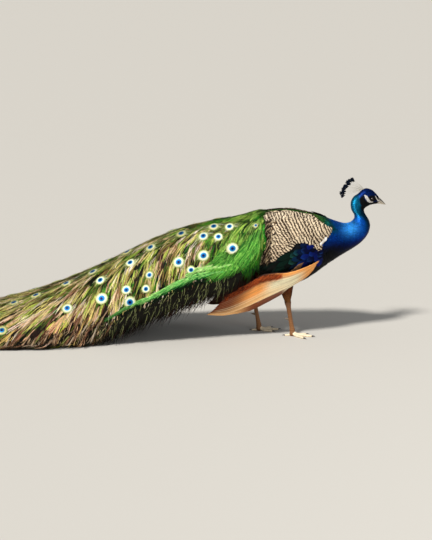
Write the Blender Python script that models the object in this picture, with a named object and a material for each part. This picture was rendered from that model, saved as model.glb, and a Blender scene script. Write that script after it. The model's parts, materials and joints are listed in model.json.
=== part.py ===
"""Indian peacock (Pavo cristatus), adult male, walking stance with the train laid back on the floor.

Metres, +Z up. The bird faces +X, its left side is +Y, and the floor is z = 0.
The flesh is one lofted body, from the base of the bill to the root of the tail, parted by thin cuts.
The folded wings are shells that ride on the body's side, and the train is a long arch of feathers.
The finished model is moved so that the centre of its plan is at x = 0, y = 0.
"""
import math

import bmesh
import bpy
import numpy as np
from mathutils import Vector

# ---------------------------------------------------------------- driving dimensions (metres)
GAP = 0.0004            # clearance left by every thin cut
RING = 24               # points round the body
TRAIN_HALF = 13         # points across each face of the train
HEAD_BACK = 0.0052      # how far the raised head is carried back
TOE_MIDDLE, TOE_INNER, TOE_OUTER, TOE_HIND = 0.066, 0.048, 0.052, 0.022
TOE_R = 0.0062          # toe radius at its root
CLAW = 0.012
EYE_R = 0.0068
EYE = (0.2790, 0.0165, 0.4795)
SPUR = 0.018
TAIL_ROOT, TAIL_TIP = (-0.262, 0.341), (-0.640, 0.158)
TAIL_THICK = 0.008
CREST_THICK = 0.0022

# Stations of the body, bill base to tail root: back x, back z, belly x, belly z, half-width.
BODY = np.array([
    (0.3110, 0.4815, 0.3050, 0.4600, 0.0085),
    (0.3010, 0.4945, 0.2945, 0.4590, 0.0135),
    (0.2850, 0.5085, 0.2800, 0.4560, 0.0192),
    (0.2653, 0.5139, 0.2690, 0.4505, 0.0220),
    (0.2500, 0.5068, 0.2625, 0.4460, 0.0222),
    (0.2370, 0.4950, 0.2592, 0.4425, 0.0222),
    (0.2225, 0.4845, 0.2582, 0.4395, 0.0222),
    (0.2138, 0.4690, 0.2580, 0.4360, 0.0222),
    (0.2121, 0.4530, 0.2590, 0.4315, 0.0220),
    (0.2153, 0.4370, 0.2620, 0.4240, 0.0222),
    (0.2228, 0.4236, 0.2674, 0.4150, 0.0235),
    (0.2240, 0.4115, 0.2744, 0.4020, 0.0260),
    (0.2165, 0.4000, 0.2776, 0.3848, 0.0310),
    (0.2030, 0.3925, 0.2734, 0.3644, 0.0375),
    (0.1869, 0.3908, 0.2636, 0.3459, 0.0435),
    (0.1684, 0.3955, 0.2475, 0.3274, 0.0500),
    (0.1461, 0.4035, 0.2272, 0.3115, 0.0565),
    (0.1239, 0.4108, 0.2013, 0.2950, 0.0640),
    (0.0959, 0.4190, 0.1700, 0.2760, 0.0715),
    (0.0600, 0.4270, 0.1280, 0.2480, 0.0830),
    (0.0123, 0.4370, 0.0850, 0.2160, 0.0920),
    (-0.0326, 0.4390, 0.0420, 0.1900, 0.0955),
    (-0.0770, 0.4340, -0.0050, 0.1790, 0.0945),
    (-0.1230, 0.4220, -0.0600, 0.1900, 0.0880),
    (-0.1700, 0.4060, -0.1250, 0.2250, 0.0740),
    (-0.2150, 0.3880, -0.1850, 0.2750, 0.0560),
    (-0.2550, 0.3720, -0.2350, 0.3150, 0.0400),
    (-0.2800, 0.3610, -0.2680, 0.3330, 0.0300),
])
for col in (0, 2):
    lift = np.clip((BODY[:, col + 1] - 0.34) / 0.14, 0, 1)
    BODY[:, col] -= HEAD_BACK * lift * lift * (3 - 2 * lift) * (BODY[:, 0] > 0.13)
# Where the body is parted, as station numbers.
CUT_HEAD, CUT_NECK, CUT_BREAST, CUT_TRUNK = 5.4, 10.8, 16.2, 19.0
LAST = len(BODY) - 1

# Stations of the train: x, ridge z, half-width, rim z, underside z at the middle.
TRAIN = np.array([
    (-0.094, 0.4385, 0.100, 0.330, 0.400),
    (-0.115, 0.4335, 0.112, 0.285, 0.392),
    (-0.150, 0.4225, 0.124, 0.250, 0.380),
    (-0.220, 0.4045, 0.136, 0.210, 0.360),
    (-0.300, 0.3880, 0.146, 0.183, 0.342),
    (-0.400, 0.3600, 0.156, 0.150, 0.306),
    (-0.520, 0.3085, 0.168, 0.108, 0.250),
    (-0.650, 0.2435, 0.184, 0.056, 0.172),
    (-0.780, 0.1855, 0.203, 0.024, 0.102),
    (-0.900, 0.1430, 0.220, 0.006, 0.048),
    (-1.020, 0.1085, 0.232, 0.000, 0.020),
    (-1.150, 0.0820, 0.232, 0.000, 0.006),
    (-1.300, 0.0610, 0.215, 0.000, 0.000),
    (-1.450, 0.0410, 0.178, 0.000, 0.000),
    (-1.560, 0.0260, 0.120, 0.000, 0.000),
    (-1.620, 0.0130, 0.055, 0.000, 0.000),
])
TRAIN_CUTS = (-0.094, -0.240, -0.470, -0.760, -1.100, -1.620)

# Folded wing on the body's own grid: (station, angle from the back in degrees), front to rear.
SHIELD_TOP = np.array([(17.0, 57), (17.5, 36), (18.5, 19), (19.6, 15), (20.8, 14), (22.0, 15)], float)
SHIELD_LOW = np.array([(17.15, 62), (18.6, 84), (19.1, 92), (19.7, 81), (20.4, 77), (21.2, 85), (22.3, 94), (23.3, 107)], float)
COVERT_LOW = np.array([(19.0, 104), (19.4, 121), (20.3, 121), (21.4, 121), (22.6, 116), (23.45, 122)], float)
COVERT_TOP = np.array([(18.9, 93), (19.15, 94), (19.7, 83), (20.4, 79), (21.2, 87), (22.3, 96), (23.4, 109)], float)
# Primaries: x, z of the upper and lower edge, root to tip, and their distance from the middle plane.
PRIM_TOP = np.array([(0.0940, 0.2760), (0.0500, 0.2560), (-0.0100, 0.2380), (-0.0900, 0.2300), (-0.1500, 0.2000), (-0.2200, 0.1600), (-0.2890, 0.1140)])
PRIM_LOW = np.array([(0.0920, 0.2620), (0.0580, 0.2220), (-0.0050, 0.1830), (-0.0900, 0.1400), (-0.1550, 0.1080), (-0.2200, 0.0850), (-0.2920, 0.0820)])
PRIM_Y = np.array([0.0850, 0.0960, 0.1055, 0.1080, 0.1060, 0.1030, 0.0970])

# Feet: ankle x, y, heading in degrees (0 = forwards), hock x, y, z.
LEGS = {
    "right": dict(ankle=(0.0075, -0.050), heading=-14, hock=(-0.0095, -0.050, 0.124), hip=(-0.022, -0.046, 0.236)),
    "left": dict(ankle=(-0.107, 0.026), heading=6, hock=(-0.126, 0.036, 0.122), hip=(-0.075, 0.044, 0.240)),
}
ANKLE_Z = 0.021


# ---------------------------------------------------------------- helpers
def clear():
    for obj in list(bpy.data.objects):
        bpy.data.objects.remove(obj, do_unlink=True)


def smooth_at(rows, t):
    """Catmull-Rom through the rows, with t counted in rows."""
    rows = np.asarray(rows, float)
    n = len(rows)
    t = min(max(t, 0.0), n - 1.0)
    i = min(int(t), n - 2)
    f = t - i
    a, b, c, d = rows[max(i - 1, 0)], rows[i], rows[i + 1], rows[min(i + 2, n - 1)]
    return 0.5 * (2 * b + (c - a) * f + (2 * a - 5 * b + 4 * c - d) * f * f + (3 * b - a - 3 * c + d) * f ** 3)


def along(rows, u):
    """The same curve with u from 0 to 1."""
    return smooth_at(rows, u * (len(rows) - 1))


def material(name, rgb, rough, metal=0.0):
    m = bpy.data.materials.new(name)
    m.use_nodes = True
    p = m.node_tree.nodes["Principled BSDF"]
    p.inputs["Base Color"].default_value = (*rgb, 1)
    p.inputs["Roughness"].default_value = rough
    p.inputs["Metallic"].default_value = metal
    return m


def make(name, verts, faces, mat, guide=False):
    me = bpy.data.meshes.new(name)
    me.from_pydata([tuple(map(float, v)) for v in verts], [], faces)
    bm = bmesh.new()
    bm.from_mesh(me)
    bmesh.ops.recalc_face_normals(bm, faces=bm.faces)
    bm.to_mesh(me)
    bm.free()
    me.shade_smooth()
    me.set_sharp_from_angle(angle=math.radians(50))
    obj = bpy.data.objects.new(name, me)
    bpy.context.scene.collection.objects.link(obj)
    if mat is not None:
        me.materials.append(mat)
    if guide:
        obj.hide_render = True
        obj.display_type = "WIRE"
    return obj


def loft(name, rings, mat, guide=False):
    """A closed body through rings of equal count."""
    n = len(rings[0])
    verts = np.concatenate(rings)
    faces = []
    for k in range(len(rings) - 1):
        for i in range(n):
            j = (i + 1) % n
            faces.append((k * n + i, k * n + j, (k + 1) * n + j, (k + 1) * n + i))
    faces.append(tuple(range(n))[::-1])
    faces.append(tuple((len(rings) - 1) * n + i for i in range(n)))
    return make(name, verts, faces, mat, guide)


def shell(name, outer, inner, mat, guide=False):
    """A closed body between two grids of the same shape."""
    nu, nv = outer.shape[:2]
    verts = np.concatenate([outer.reshape(-1, 3), inner.reshape(-1, 3)])
    at = lambda s, i, j: s * nu * nv + i * nv + j
    faces = []
    for i in range(nu - 1):
        for j in range(nv - 1):
            faces.append((at(0, i, j), at(0, i + 1, j), at(0, i + 1, j + 1), at(0, i, j + 1)))
            faces.append((at(1, i, j), at(1, i, j + 1), at(1, i + 1, j + 1), at(1, i + 1, j)))
    for i in range(nu - 1):
        faces.append((at(0, i, 0), at(1, i, 0), at(1, i + 1, 0), at(0, i + 1, 0)))
        faces.append((at(0, i, nv - 1), at(0, i + 1, nv - 1), at(1, i + 1, nv - 1), at(1, i, nv - 1)))
    for j in range(nv - 1):
        faces.append((at(0, 0, j), at(0, 0, j + 1), at(1, 0, j + 1), at(1, 0, j)))
        faces.append((at(0, nu - 1, j), at(1, nu - 1, j), at(1, nu - 1, j + 1), at(0, nu - 1, j + 1)))
    return make(name, verts, faces, mat, guide)


def cut(obj, tool, operation="DIFFERENCE"):
    m = obj.modifiers.new(operation.lower() + "_" + tool.name, "BOOLEAN")
    m.operation = operation
    m.solver = "EXACT"
    m.object = tool
    return m


# ---------------------------------------------------------------- body
def power(v, e):
    return np.sign(v) * np.abs(v) ** e


def body_point(t, angle, grow=0.0):
    """A point of the body's surface: station t, angle in radians from the back, positive to the left."""
    tx, tz, bx, bz, w = smooth_at(BODY, t)
    c = np.array([(tx + bx) / 2, 0.0, (tz + bz) / 2])
    n = np.array([(tx - bx) / 2, 0.0, (tz - bz) / 2])
    half = np.linalg.norm(n)
    n *= (half + grow) / half
    full = 0.90 + 0.10 * max(0.0, 1 - t / 12)
    return c + n * power(math.cos(angle), full) + np.array([0, (w + grow) * power(math.sin(angle), full), 0])


def body_normal(t, angle):
    e = 0.02
    a = body_point(t + e, angle) - body_point(t - e, angle)
    b = body_point(t, angle + e) - body_point(t, angle - e)
    n = np.cross(a, b)
    n /= np.linalg.norm(n)
    c = body_point(t, 0) * 0.5 + body_point(t, math.pi) * 0.5
    return n if np.dot(n, body_point(t, angle) - c) > 0 else -n


def body_ring(t, shift=0.0, grow=0.0):
    ring = np.array([body_point(t, 2 * math.pi * i / RING, grow) for i in range(RING)])
    if shift:
        c0 = (body_point(t - 0.05, 0) + body_point(t - 0.05, math.pi)) / 2
        c1 = (body_point(t + 0.05, 0) + body_point(t + 0.05, math.pi)) / 2
        ring = ring + (c1 - c0) / np.linalg.norm(c1 - c0) * shift
    return ring


def body_piece(name, t0, t1, steps, mat, grow=0.0, guide=False):
    ts = np.linspace(t0, t1, steps + 1)
    rings = []
    for k, t in enumerate(ts):
        shift = 0.0
        if k == 0 and t0 > 0:
            shift = GAP / 2
        if k == steps and t1 < LAST:
            shift = -GAP / 2
        rings.append(body_ring(t, shift, grow))
    return loft(name, rings, mat, guide)


# ---------------------------------------------------------------- wings
def wing_shell(name, top, low, side, mat, thick, nu, nv, lift=0.0014, guide=False):
    outer, inner = np.zeros((nu, nv, 3)), np.zeros((nu, nv, 3))
    for i in range(nu):
        u = i / (nu - 1)
        a, b = along(top, u), along(low, u)
        for j in range(nv):
            v = j / (nv - 1)
            t, deg = a * (1 - v) + b * v
            ang = math.radians(deg)
            p, n = body_point(t, ang), body_normal(t, ang)
            h = thick * (0.30 + 0.70 * math.sin(math.pi * min(1.0, 0.10 + 0.80 * v)) * math.sin(math.pi * (0.12 + 0.76 * u)))
            inner[i, j] = p + n * lift
            outer[i, j] = p + n * (lift + h)
    if side == "right":
        outer[:, :, 1] *= -1
        inner[:, :, 1] *= -1
    return shell(name, outer, inner, mat, guide)


def primaries(name, side, mat, nu=15, nv=5):
    s = -1 if side == "right" else 1
    outer, inner = np.zeros((nu, nv, 3)), np.zeros((nu, nv, 3))
    for i in range(nu):
        u = i / (nu - 1)
        a, b = along(PRIM_TOP, u), along(PRIM_LOW, u)
        y = float(along(PRIM_Y, u))
        for j in range(nv):
            v = j / (nv - 1)
            x, z = a * (1 - v) + b * v
            yy = y - 0.012 * v ** 1.6
            half = 0.0012 + 0.0020 * math.sin(math.pi * (0.1 + 0.8 * v))
            inner[i, j] = (x, s * (yy - half), z)
            outer[i, j] = (x, s * (yy + half), z)
    return shell(name, outer, inner, mat)


# ---------------------------------------------------------------- train
def train_row(x):
    """Ridge, half-width, rim and underside at x."""
    t = np.interp(-x, -TRAIN[:, 0], np.arange(len(TRAIN)))
    return smooth_at(TRAIN, float(t))


def train_ring(x, shift=0.0):
    _, top, w, rim, low = train_row(x)
    rim, low = max(rim, 0.0), max(low, 0.0)
    n = TRAIN_HALF
    upper, lower = [], []
    edge = 0.003
    for i in range(n):
        a = -1 + 2 * i / (n - 1)
        y = w * math.sin(a * math.pi / 2)
        q = max(0.0, 1 - abs(y / w) ** 2.2)
        upper.append((x + shift, y, rim + edge + (top - rim - edge) * q ** 0.62))
        lower.append((x + shift, y, max(0.0, rim + (low - rim) * q ** 0.75)))
    upper[0] = (x + shift, -w, rim + edge)
    upper[-1] = (x + shift, w, rim + edge)
    return np.array(upper + lower[::-1])


def train_piece(name, x0, x1, steps, mat):
    xs = np.linspace(x0, x1, steps + 1)
    rings = []
    for k, x in enumerate(xs):
        shift = 0.0
        if k == 0 and x0 != TRAIN_CUTS[0]:
            shift = -GAP / 2
        if k == steps and x1 != TRAIN_CUTS[-1]:
            shift = GAP / 2
        rings.append(train_ring(x, shift))
    return loft(name, rings, mat)


# ---------------------------------------------------------------- tubes, toes and claws
def tube_rings(path, radii, n=8, squash=1.0, floor=None):
    path = [Vector(p) for p in path]
    rings = []
    for k, p in enumerate(path):
        d = (path[min(k + 1, len(path) - 1)] - path[max(k - 1, 0)]).normalized()
        side = Vector((0, 0, 1)).cross(d)
        side = side.normalized() if side.length > 1e-3 else Vector((0, 1, 0))
        up = d.cross(side).normalized()
        ring = []
        for i in range(n):
            a = 2 * math.pi * i / n
            q = p + side * (math.cos(a) * radii[k]) + up * (math.sin(a) * radii[k] * squash)
            if floor is not None:
                q.z = max(q.z, floor)
            ring.append(q[:])
        rings.append(np.array(ring))
    return rings


def toe(name, root, heading, length, radius, mat, rise, guide=False):
    """A toe that leaves the ankle, comes down and lies along the floor. Returns it and the place and heading of its claw."""
    d = Vector((math.cos(heading), math.sin(heading), 0))
    path, radii = [], []
    for k in range(7):
        f = k / 6
        z = radius * 0.80 * (1 - 0.30 * f) + (rise - radius * 0.8) * max(0.0, 1 - f / 0.42) ** 1.6
        knuckle = 1 + 0.10 * math.cos(f * math.pi * 5)
        path.append(Vector(root) * 1.0 + d * (length * f))
        path[-1].z = z
        radii.append(radius * (1 - 0.34 * f) * knuckle)
    obj = loft(name, tube_rings(path, radii, 8, 1.0, 0.0), mat, guide)
    tip = path[-1]
    return obj, (tip.x, tip.y, tip.z), d, radii[-1]


def claw(name, base, d, radius, mat, length=CLAW):
    path, radii = [], []
    for k in range(5):
        f = k / 4
        p = Vector(base) + d * (2.5 * GAP + length * f)
        p.z = base[2] + radius * 0.30 * math.sin(f * math.pi * 0.9) - (base[2] - 0.0012) * f ** 2.2
        path.append(p)
        radii.append(max(0.0006, radius * 0.72 * (1 - f) ** 0.8))
    return loft(name, tube_rings(path, radii, 6, 1.0, 0.0), mat)


# ---------------------------------------------------------------- build
clear()
BLUE = material("plumage_blue", (0.01, 0.06, 0.42), 0.35, 0.5)
TEAL = material("plumage_teal", (0.01, 0.22, 0.34), 0.35, 0.5)
GREEN = material("plumage_green", (0.05, 0.30, 0.08), 0.4, 0.5)
TRAINM = material("train_bronze_green", (0.20, 0.22, 0.07), 0.5, 0.3)
BARRED = material("barred_buff", (0.52, 0.42, 0.30), 0.7)
RUFOUS = material("primaries_rufous", (0.62, 0.26, 0.08), 0.6)
COVERT = material("wing_covert_blue", (0.01, 0.04, 0.20), 0.4, 0.4)
BILL = material("bill_horn", (0.55, 0.50, 0.42), 0.35)
EYEM = material("eye_brown", (0.03, 0.015, 0.01), 0.08)
LEG = material("leg_grey", (0.30, 0.22, 0.14), 0.6)
CLAWM = material("claw_horn", (0.12, 0.09, 0.07), 0.4)
BUFF = material("thigh_buff", (0.36, 0.24, 0.13), 0.8)
TAILM = material("tail_brown", (0.12, 0.07, 0.04), 0.7)

# Body, parted by thin cuts.
head = body_piece("head", 0.0, CUT_HEAD, 11, BLUE)
body_piece("neck_upper", CUT_HEAD, CUT_NECK, 9, TEAL)
body_piece("neck_lower", CUT_NECK, CUT_BREAST, 8, BLUE)
body_piece("breast", CUT_BREAST, CUT_TRUNK, 4, BLUE)
body_piece("trunk", CUT_TRUNK, LAST, 13, GREEN)
solid_body = body_piece("guide_body", 14.0, LAST, 24, None, grow=0.0012, guide=True)

# Bill: both halves leave the head's front face along its own normal.
T, B = BODY[0, :2], BODY[0, 2:4]
base = np.array([(T[0] + B[0]) / 2, 0, (T[1] + B[1]) / 2])
up = np.array([T[0] - B[0], 0, T[1] - B[1]])
half_base = np.linalg.norm(up) / 2
up /= np.linalg.norm(up)
fwd = np.array([up[2], 0, -up[0]])
BILL_LEN, BILL_DROP, BILL_W = 0.0285, 0.0062, 0.0078


def bill_ring(f, top, low, width, n=12):
    s = GAP + BILL_LEN * f
    c, h = (top + low) / 2, (top - low) / 2
    return np.array([base + fwd * s + up * (c + h * power(math.cos(2 * math.pi * i / n), 0.85)) + np.array([0, width * power(math.sin(2 * math.pi * i / n), 0.85), 0]) for i in range(n)])


rings_u, rings_l = [], []
for k in range(8):
    f = k / 7
    culmen = half_base * 0.96 - (half_base * 0.96 + BILL_DROP - 0.0004) * f ** 1.45
    gape = -0.0030 - (BILL_DROP - 0.0026) * f
    w = BILL_W * (1 - 0.93 * f ** 1.15)
    rings_u.append(bill_ring(f, max(culmen, gape + 0.0007), gape - 0.0009 * (f > 0.97), w))
    g = 0.90 * f
    gape_l = -0.0030 - (BILL_DROP - 0.0026) * g - GAP
    chin = -half_base * 0.93 + (half_base * 0.93 - BILL_DROP - 0.0012) * g ** 1.3
    rings_l.append(bill_ring(g, gape_l, min(chin, gape_l - 0.0007), w * 0.86))
loft("bill_upper", rings_u, BILL)
loft("bill_lower", rings_l, BILL)

# Eyes, each in a socket cut from the head.
for side, s in (("right", -1), ("left", 1)):
    for name, r, guide in (("eye_" + side, EYE_R, False), ("guide_socket_" + side, EYE_R + GAP, True)):
        bm = bmesh.new()
        bmesh.ops.create_uvsphere(bm, u_segments=16, v_segments=10, radius=r)
        verts = [(v.co.x + EYE[0], v.co.y + s * (EYE[1] - 0.0018), v.co.z + EYE[2]) for v in bm.verts]
        faces = [[v.index for v in f.verts] for f in bm.faces]
        bm.free()
        ball = make(name, verts, faces, None if guide else EYEM, guide)
        if guide:
            cut(head, ball)

# Crest: a fan of plumes on the crown, in the middle plane.
crest_base = [smooth_at(BODY, t)[:2] for t in np.linspace(3.35, 4.15, 7)]
fan = []
for k in range(7):
    f = k / 6
    deg = 140 + 52 * f
    length = 0.058 + 0.016 * f
    bx, bz = crest_base[k]
    b = np.array([bx + 0.0012 * math.cos(math.radians(deg)), bz + 0.0012])
    d = np.array([math.cos(math.radians(deg)), math.sin(math.radians(deg))])
    fan.append((b, b + d * length))
outer, inner = np.zeros((7, 4, 3)), np.zeros((7, 4, 3))
for k, (b, e) in enumerate(fan):
    for j in range(4):
        q = b + (e - b) * j / 3
        h = CREST_THICK / 2 * (0.5 + 0.5 * j / 3)
        outer[k, j] = (q[0], h, q[1])
        inner[k, j] = (q[0], -h, q[1])
shell("crest", outer, inner, COVERT)

# Folded wings.
for side in ("right", "left"):
    wing_shell("wing_" + side + "_shoulder", SHIELD_TOP, SHIELD_LOW, side, BARRED, 0.0105, 15, 8)
    wing_shell("wing_" + side + "_coverts", COVERT_TOP, COVERT_LOW, side, COVERT, 0.0080, 14, 5)
    wing_shell("guide_shield_" + side, SHIELD_TOP - [0, 1.0], SHIELD_LOW + np.array([0.06, 1.0]), side, None, 0.0600, 15, 8, lift=-0.0060, guide=True)
    wing_shell("guide_coverts_" + side, COVERT_TOP - [0, 2.0], COVERT_LOW + np.array([0.05, 2.0]), side, None, 0.0600, 14, 5, lift=-0.0060, guide=True)
    primaries("wing_" + side + "_primaries", side, RUFOUS)

# Train: an arch of feathers from the back to behind the bird.
names = ("train_root", "train_front", "train_middle", "train_rear", "train_end")
for k, name in enumerate(names):
    piece = train_piece(name, TRAIN_CUTS[k], TRAIN_CUTS[k + 1], (6, 5, 5, 5, 7)[k], GREEN if k == 0 else TRAINM)
    if k < 2:
        cut(piece, solid_body)
    if k == 0:
        cut(piece, bpy.data.objects["guide_shield_right"])
        cut(piece, bpy.data.objects["guide_shield_left"])

# Tail: the closed fan of stiff feathers that carries the train.
outer, inner = np.zeros((7, 7, 3)), np.zeros((7, 7, 3))
for i in range(7):
    f = i / 6
    x = TAIL_ROOT[0] - 0.022 + (TAIL_TIP[0] - TAIL_ROOT[0] + 0.022) * f
    z = TAIL_ROOT[1] - 0.006 + (TAIL_TIP[1] - TAIL_ROOT[1] + 0.006) * f - 0.012 * math.sin(math.pi * f)
    w = 0.020 + 0.056 * f ** 0.8
    for j in range(7):
        v = -1 + j / 3
        bow = -0.016 * f * v * v - 0.004 * v * v
        back = 0.030 * v * v * f
        outer[i, j] = (x + back, w * v, z + bow + TAIL_THICK / 2 * (1 - 0.6 * abs(v)))
        inner[i, j] = (x + back, w * v, z + bow - TAIL_THICK / 2 * (1 - 0.6 * abs(v)))
shell("tail", outer, inner, TAILM)

# Legs.
for side, leg in LEGS.items():
    ax, ay = leg["ankle"]
    hock, hip = Vector(leg["hock"]), Vector(leg["hip"])
    ankle = Vector((ax, ay, ANKLE_Z))
    # Thigh, feathered down to the hock, with the body's form cut from it.
    path, radii = [], []
    top = hock + (hip - hock).normalized() * 0.0100
    for k in range(7):
        f = k / 6
        path.append(hip + (top - hip) * f)
        radii.append(0.0105 + 0.0290 * (1 - f) ** 0.85)
    thigh = loft("thigh_" + side, tube_rings(path, radii, 14), BUFF)
    cut(thigh, solid_body)
    cut(thigh, bpy.data.objects["guide_coverts_" + side])
    # Shank: hock joint, slender shaft and ankle.
    path, radii = [], []
    d = (ankle - hock)
    for f, r in ((-0.045, 0.0076), (0.02, 0.0104), (0.09, 0.0098), (0.20, 0.0076), (0.42, 0.0068), (0.70, 0.0068), (0.86, 0.0074), (0.935, 0.0084)):
        path.append(hock + d * f)
        radii.append(r)
    loft("shank_" + side, tube_rings(path, radii, 12), LEG)
    sp = hock + d * 0.62 + Vector((-0.0082, 0, 0))
    back = Vector((-1, (0.25 if side == "left" else -0.25) * -1, 0.12)).normalized()
    loft("spur_" + side, tube_rings([sp + back * (SPUR * f) for f in (0.0, 0.25, 0.5, 0.75, 1.0)], [0.0036, 0.0032, 0.0025, 0.0017, 0.0006], 8), CLAWM)
    # Foot: three toes forwards and one back, joined at the ankle's pad.
    h = math.radians(leg["heading"])
    pad = ankle.copy()
    pad.z = 0.0078
    rings = []
    for f, r in ((-1.0, 0.0055), (-0.55, 0.0088), (0.0, 0.0100), (0.55, 0.0092), (0.98, 0.0074)):
        c = pad + Vector((0, 0, f * 0.0078))
        rings.append(np.array([(c.x + r * math.cos(2 * math.pi * i / 12), c.y + r * math.sin(2 * math.pi * i / 12), max(0.0, c.z)) for i in range(12)]))
    foot = loft("foot_" + side, rings, LEG)
    out = 1 if side == "left" else -1
    for nm, ang, ln, r, rise in (("middle", 0, TOE_MIDDLE, TOE_R, 0.011), ("inner", -30 * out, TOE_INNER, TOE_R * 0.90, 0.010), ("outer", 33 * out, TOE_OUTER, TOE_R * 0.90, 0.010), ("hind", 172 * out, TOE_HIND, TOE_R * 0.70, 0.0105)):
        a = h + math.radians(ang)
        root = Vector((ax, ay, 0)) + Vector((math.cos(a), math.sin(a), 0)) * 0.0035
        bar, tip, dd, rr = toe("guide_toe_" + side + "_" + nm, root, a, ln, r, None, rise, guide=True)
        cut(foot, bar, "UNION")
        claw("claw_" + side + "_" + nm, tip, dd, rr, CLAWM, CLAW * (0.75 if nm == "hind" else 1.0))

# ---------------------------------------------------------------- centre the plan on the origin
bpy.context.view_layer.update()
graph = bpy.context.evaluated_depsgraph_get()
lo, hi = np.full(3, 1e9), np.full(3, -1e9)
for obj in bpy.data.objects:
    if obj.type == "MESH" and not obj.hide_render:
        me = obj.evaluated_get(graph).to_mesh()
        co = np.array([v.co[:] for v in me.vertices])
        lo, hi = np.minimum(lo, co.min(0)), np.maximum(hi, co.max(0))
shift = Vector((-(lo[0] + hi[0]) / 2, -(lo[1] + hi[1]) / 2, -lo[2]))
for obj in bpy.data.objects:
    if obj.type == "MESH":
        obj.location = shift
bpy.context.view_layer.update()
print("plan centred by", [round(v, 6) for v in shift], "size", [round(float(v), 4) for v in hi - lo])
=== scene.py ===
"""Looks of the peacock: one skin, feathers as joined vanes over it, the train of eyed feathers, head, legs and light."""

import json
import math

import bmesh
import bpy
import numpy as np
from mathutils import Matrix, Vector

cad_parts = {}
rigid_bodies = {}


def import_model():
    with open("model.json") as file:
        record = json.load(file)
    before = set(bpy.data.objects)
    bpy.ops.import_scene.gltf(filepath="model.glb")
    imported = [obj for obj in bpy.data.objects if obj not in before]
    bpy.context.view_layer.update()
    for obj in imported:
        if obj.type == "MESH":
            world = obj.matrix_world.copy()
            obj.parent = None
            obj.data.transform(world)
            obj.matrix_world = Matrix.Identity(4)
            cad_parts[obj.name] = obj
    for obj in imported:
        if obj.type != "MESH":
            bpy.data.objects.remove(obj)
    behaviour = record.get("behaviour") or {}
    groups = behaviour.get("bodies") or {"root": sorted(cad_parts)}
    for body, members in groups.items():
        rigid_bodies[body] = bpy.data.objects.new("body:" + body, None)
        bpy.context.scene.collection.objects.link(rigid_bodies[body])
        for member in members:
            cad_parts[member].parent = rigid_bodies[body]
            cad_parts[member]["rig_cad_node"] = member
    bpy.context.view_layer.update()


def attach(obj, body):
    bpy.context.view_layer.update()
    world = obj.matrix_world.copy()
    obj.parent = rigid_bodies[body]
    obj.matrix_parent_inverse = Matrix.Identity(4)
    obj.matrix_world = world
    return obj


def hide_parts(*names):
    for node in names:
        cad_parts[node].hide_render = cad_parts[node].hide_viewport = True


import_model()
SHIFT = np.array([0.645307, 0.0, 0.0])      # from the bird's own zero, under the wings, to the centre of the plan
RNG = np.random.default_rng(11)
TAU = 2 * math.pi

# ---------------------------------------------------------------- stations, as in the solids
BODY = np.array([
    (0.3110, 0.4815, 0.3050, 0.4600, 0.0085), (0.3010, 0.4945, 0.2945, 0.4590, 0.0135),
    (0.2850, 0.5085, 0.2800, 0.4560, 0.0192), (0.2653, 0.5139, 0.2690, 0.4505, 0.0220),
    (0.2500, 0.5068, 0.2625, 0.4460, 0.0222), (0.2370, 0.4950, 0.2592, 0.4425, 0.0222),
    (0.2225, 0.4845, 0.2582, 0.4395, 0.0222), (0.2138, 0.4690, 0.2580, 0.4360, 0.0222),
    (0.2121, 0.4530, 0.2590, 0.4315, 0.0220), (0.2153, 0.4370, 0.2620, 0.4240, 0.0222),
    (0.2228, 0.4236, 0.2674, 0.4150, 0.0235), (0.2240, 0.4115, 0.2744, 0.4020, 0.0260),
    (0.2165, 0.4000, 0.2776, 0.3848, 0.0310), (0.2030, 0.3925, 0.2734, 0.3644, 0.0375),
    (0.1869, 0.3908, 0.2636, 0.3459, 0.0435), (0.1684, 0.3955, 0.2475, 0.3274, 0.0500),
    (0.1461, 0.4035, 0.2272, 0.3115, 0.0565), (0.1239, 0.4108, 0.2013, 0.2950, 0.0640),
    (0.0959, 0.4190, 0.1700, 0.2760, 0.0715), (0.0600, 0.4270, 0.1280, 0.2480, 0.0830),
    (0.0123, 0.4370, 0.0850, 0.2160, 0.0920), (-0.0326, 0.4390, 0.0420, 0.1900, 0.0955),
    (-0.0770, 0.4340, -0.0050, 0.1790, 0.0945), (-0.1230, 0.4220, -0.0600, 0.1900, 0.0880),
    (-0.1700, 0.4060, -0.1250, 0.2250, 0.0740), (-0.2150, 0.3880, -0.1850, 0.2750, 0.0560),
    (-0.2550, 0.3720, -0.2350, 0.3150, 0.0400), (-0.2800, 0.3610, -0.2680, 0.3330, 0.0300)])
for col in (0, 2):
    up_ = np.clip((BODY[:, col + 1] - 0.34) / 0.14, 0, 1)
    BODY[:, col] -= 0.0052 * up_ * up_ * (3 - 2 * up_) * (BODY[:, 0] > 0.13)
LAST = len(BODY) - 1
TRAIN = np.array([
    (-0.094, 0.4385, 0.100, 0.330), (-0.115, 0.4335, 0.112, 0.285), (-0.150, 0.4225, 0.124, 0.250),
    (-0.220, 0.4045, 0.136, 0.210), (-0.300, 0.3880, 0.146, 0.183), (-0.400, 0.3600, 0.156, 0.150),
    (-0.520, 0.3085, 0.168, 0.108), (-0.650, 0.2435, 0.184, 0.056), (-0.780, 0.1855, 0.203, 0.024),
    (-0.900, 0.1430, 0.220, 0.006), (-1.020, 0.1085, 0.232, 0.000), (-1.150, 0.0820, 0.232, 0.000),
    (-1.300, 0.0610, 0.215, 0.000), (-1.450, 0.0410, 0.178, 0.000), (-1.560, 0.0260, 0.120, 0.000),
    (-1.620, 0.0130, 0.055, 0.000)])
SHIELD_TOP = np.array([(17.0, 57), (17.5, 36), (18.5, 19), (19.6, 15), (20.8, 14), (22.0, 15)], float)
SHIELD_LOW = np.array([(17.15, 62), (18.6, 84), (19.1, 92), (19.7, 81), (20.4, 77), (21.2, 85), (22.3, 94), (23.3, 107)], float)
COVERT_LOW = np.array([(19.0, 104), (19.4, 121), (20.3, 121), (21.4, 121), (22.6, 116), (23.45, 122)], float)
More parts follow.
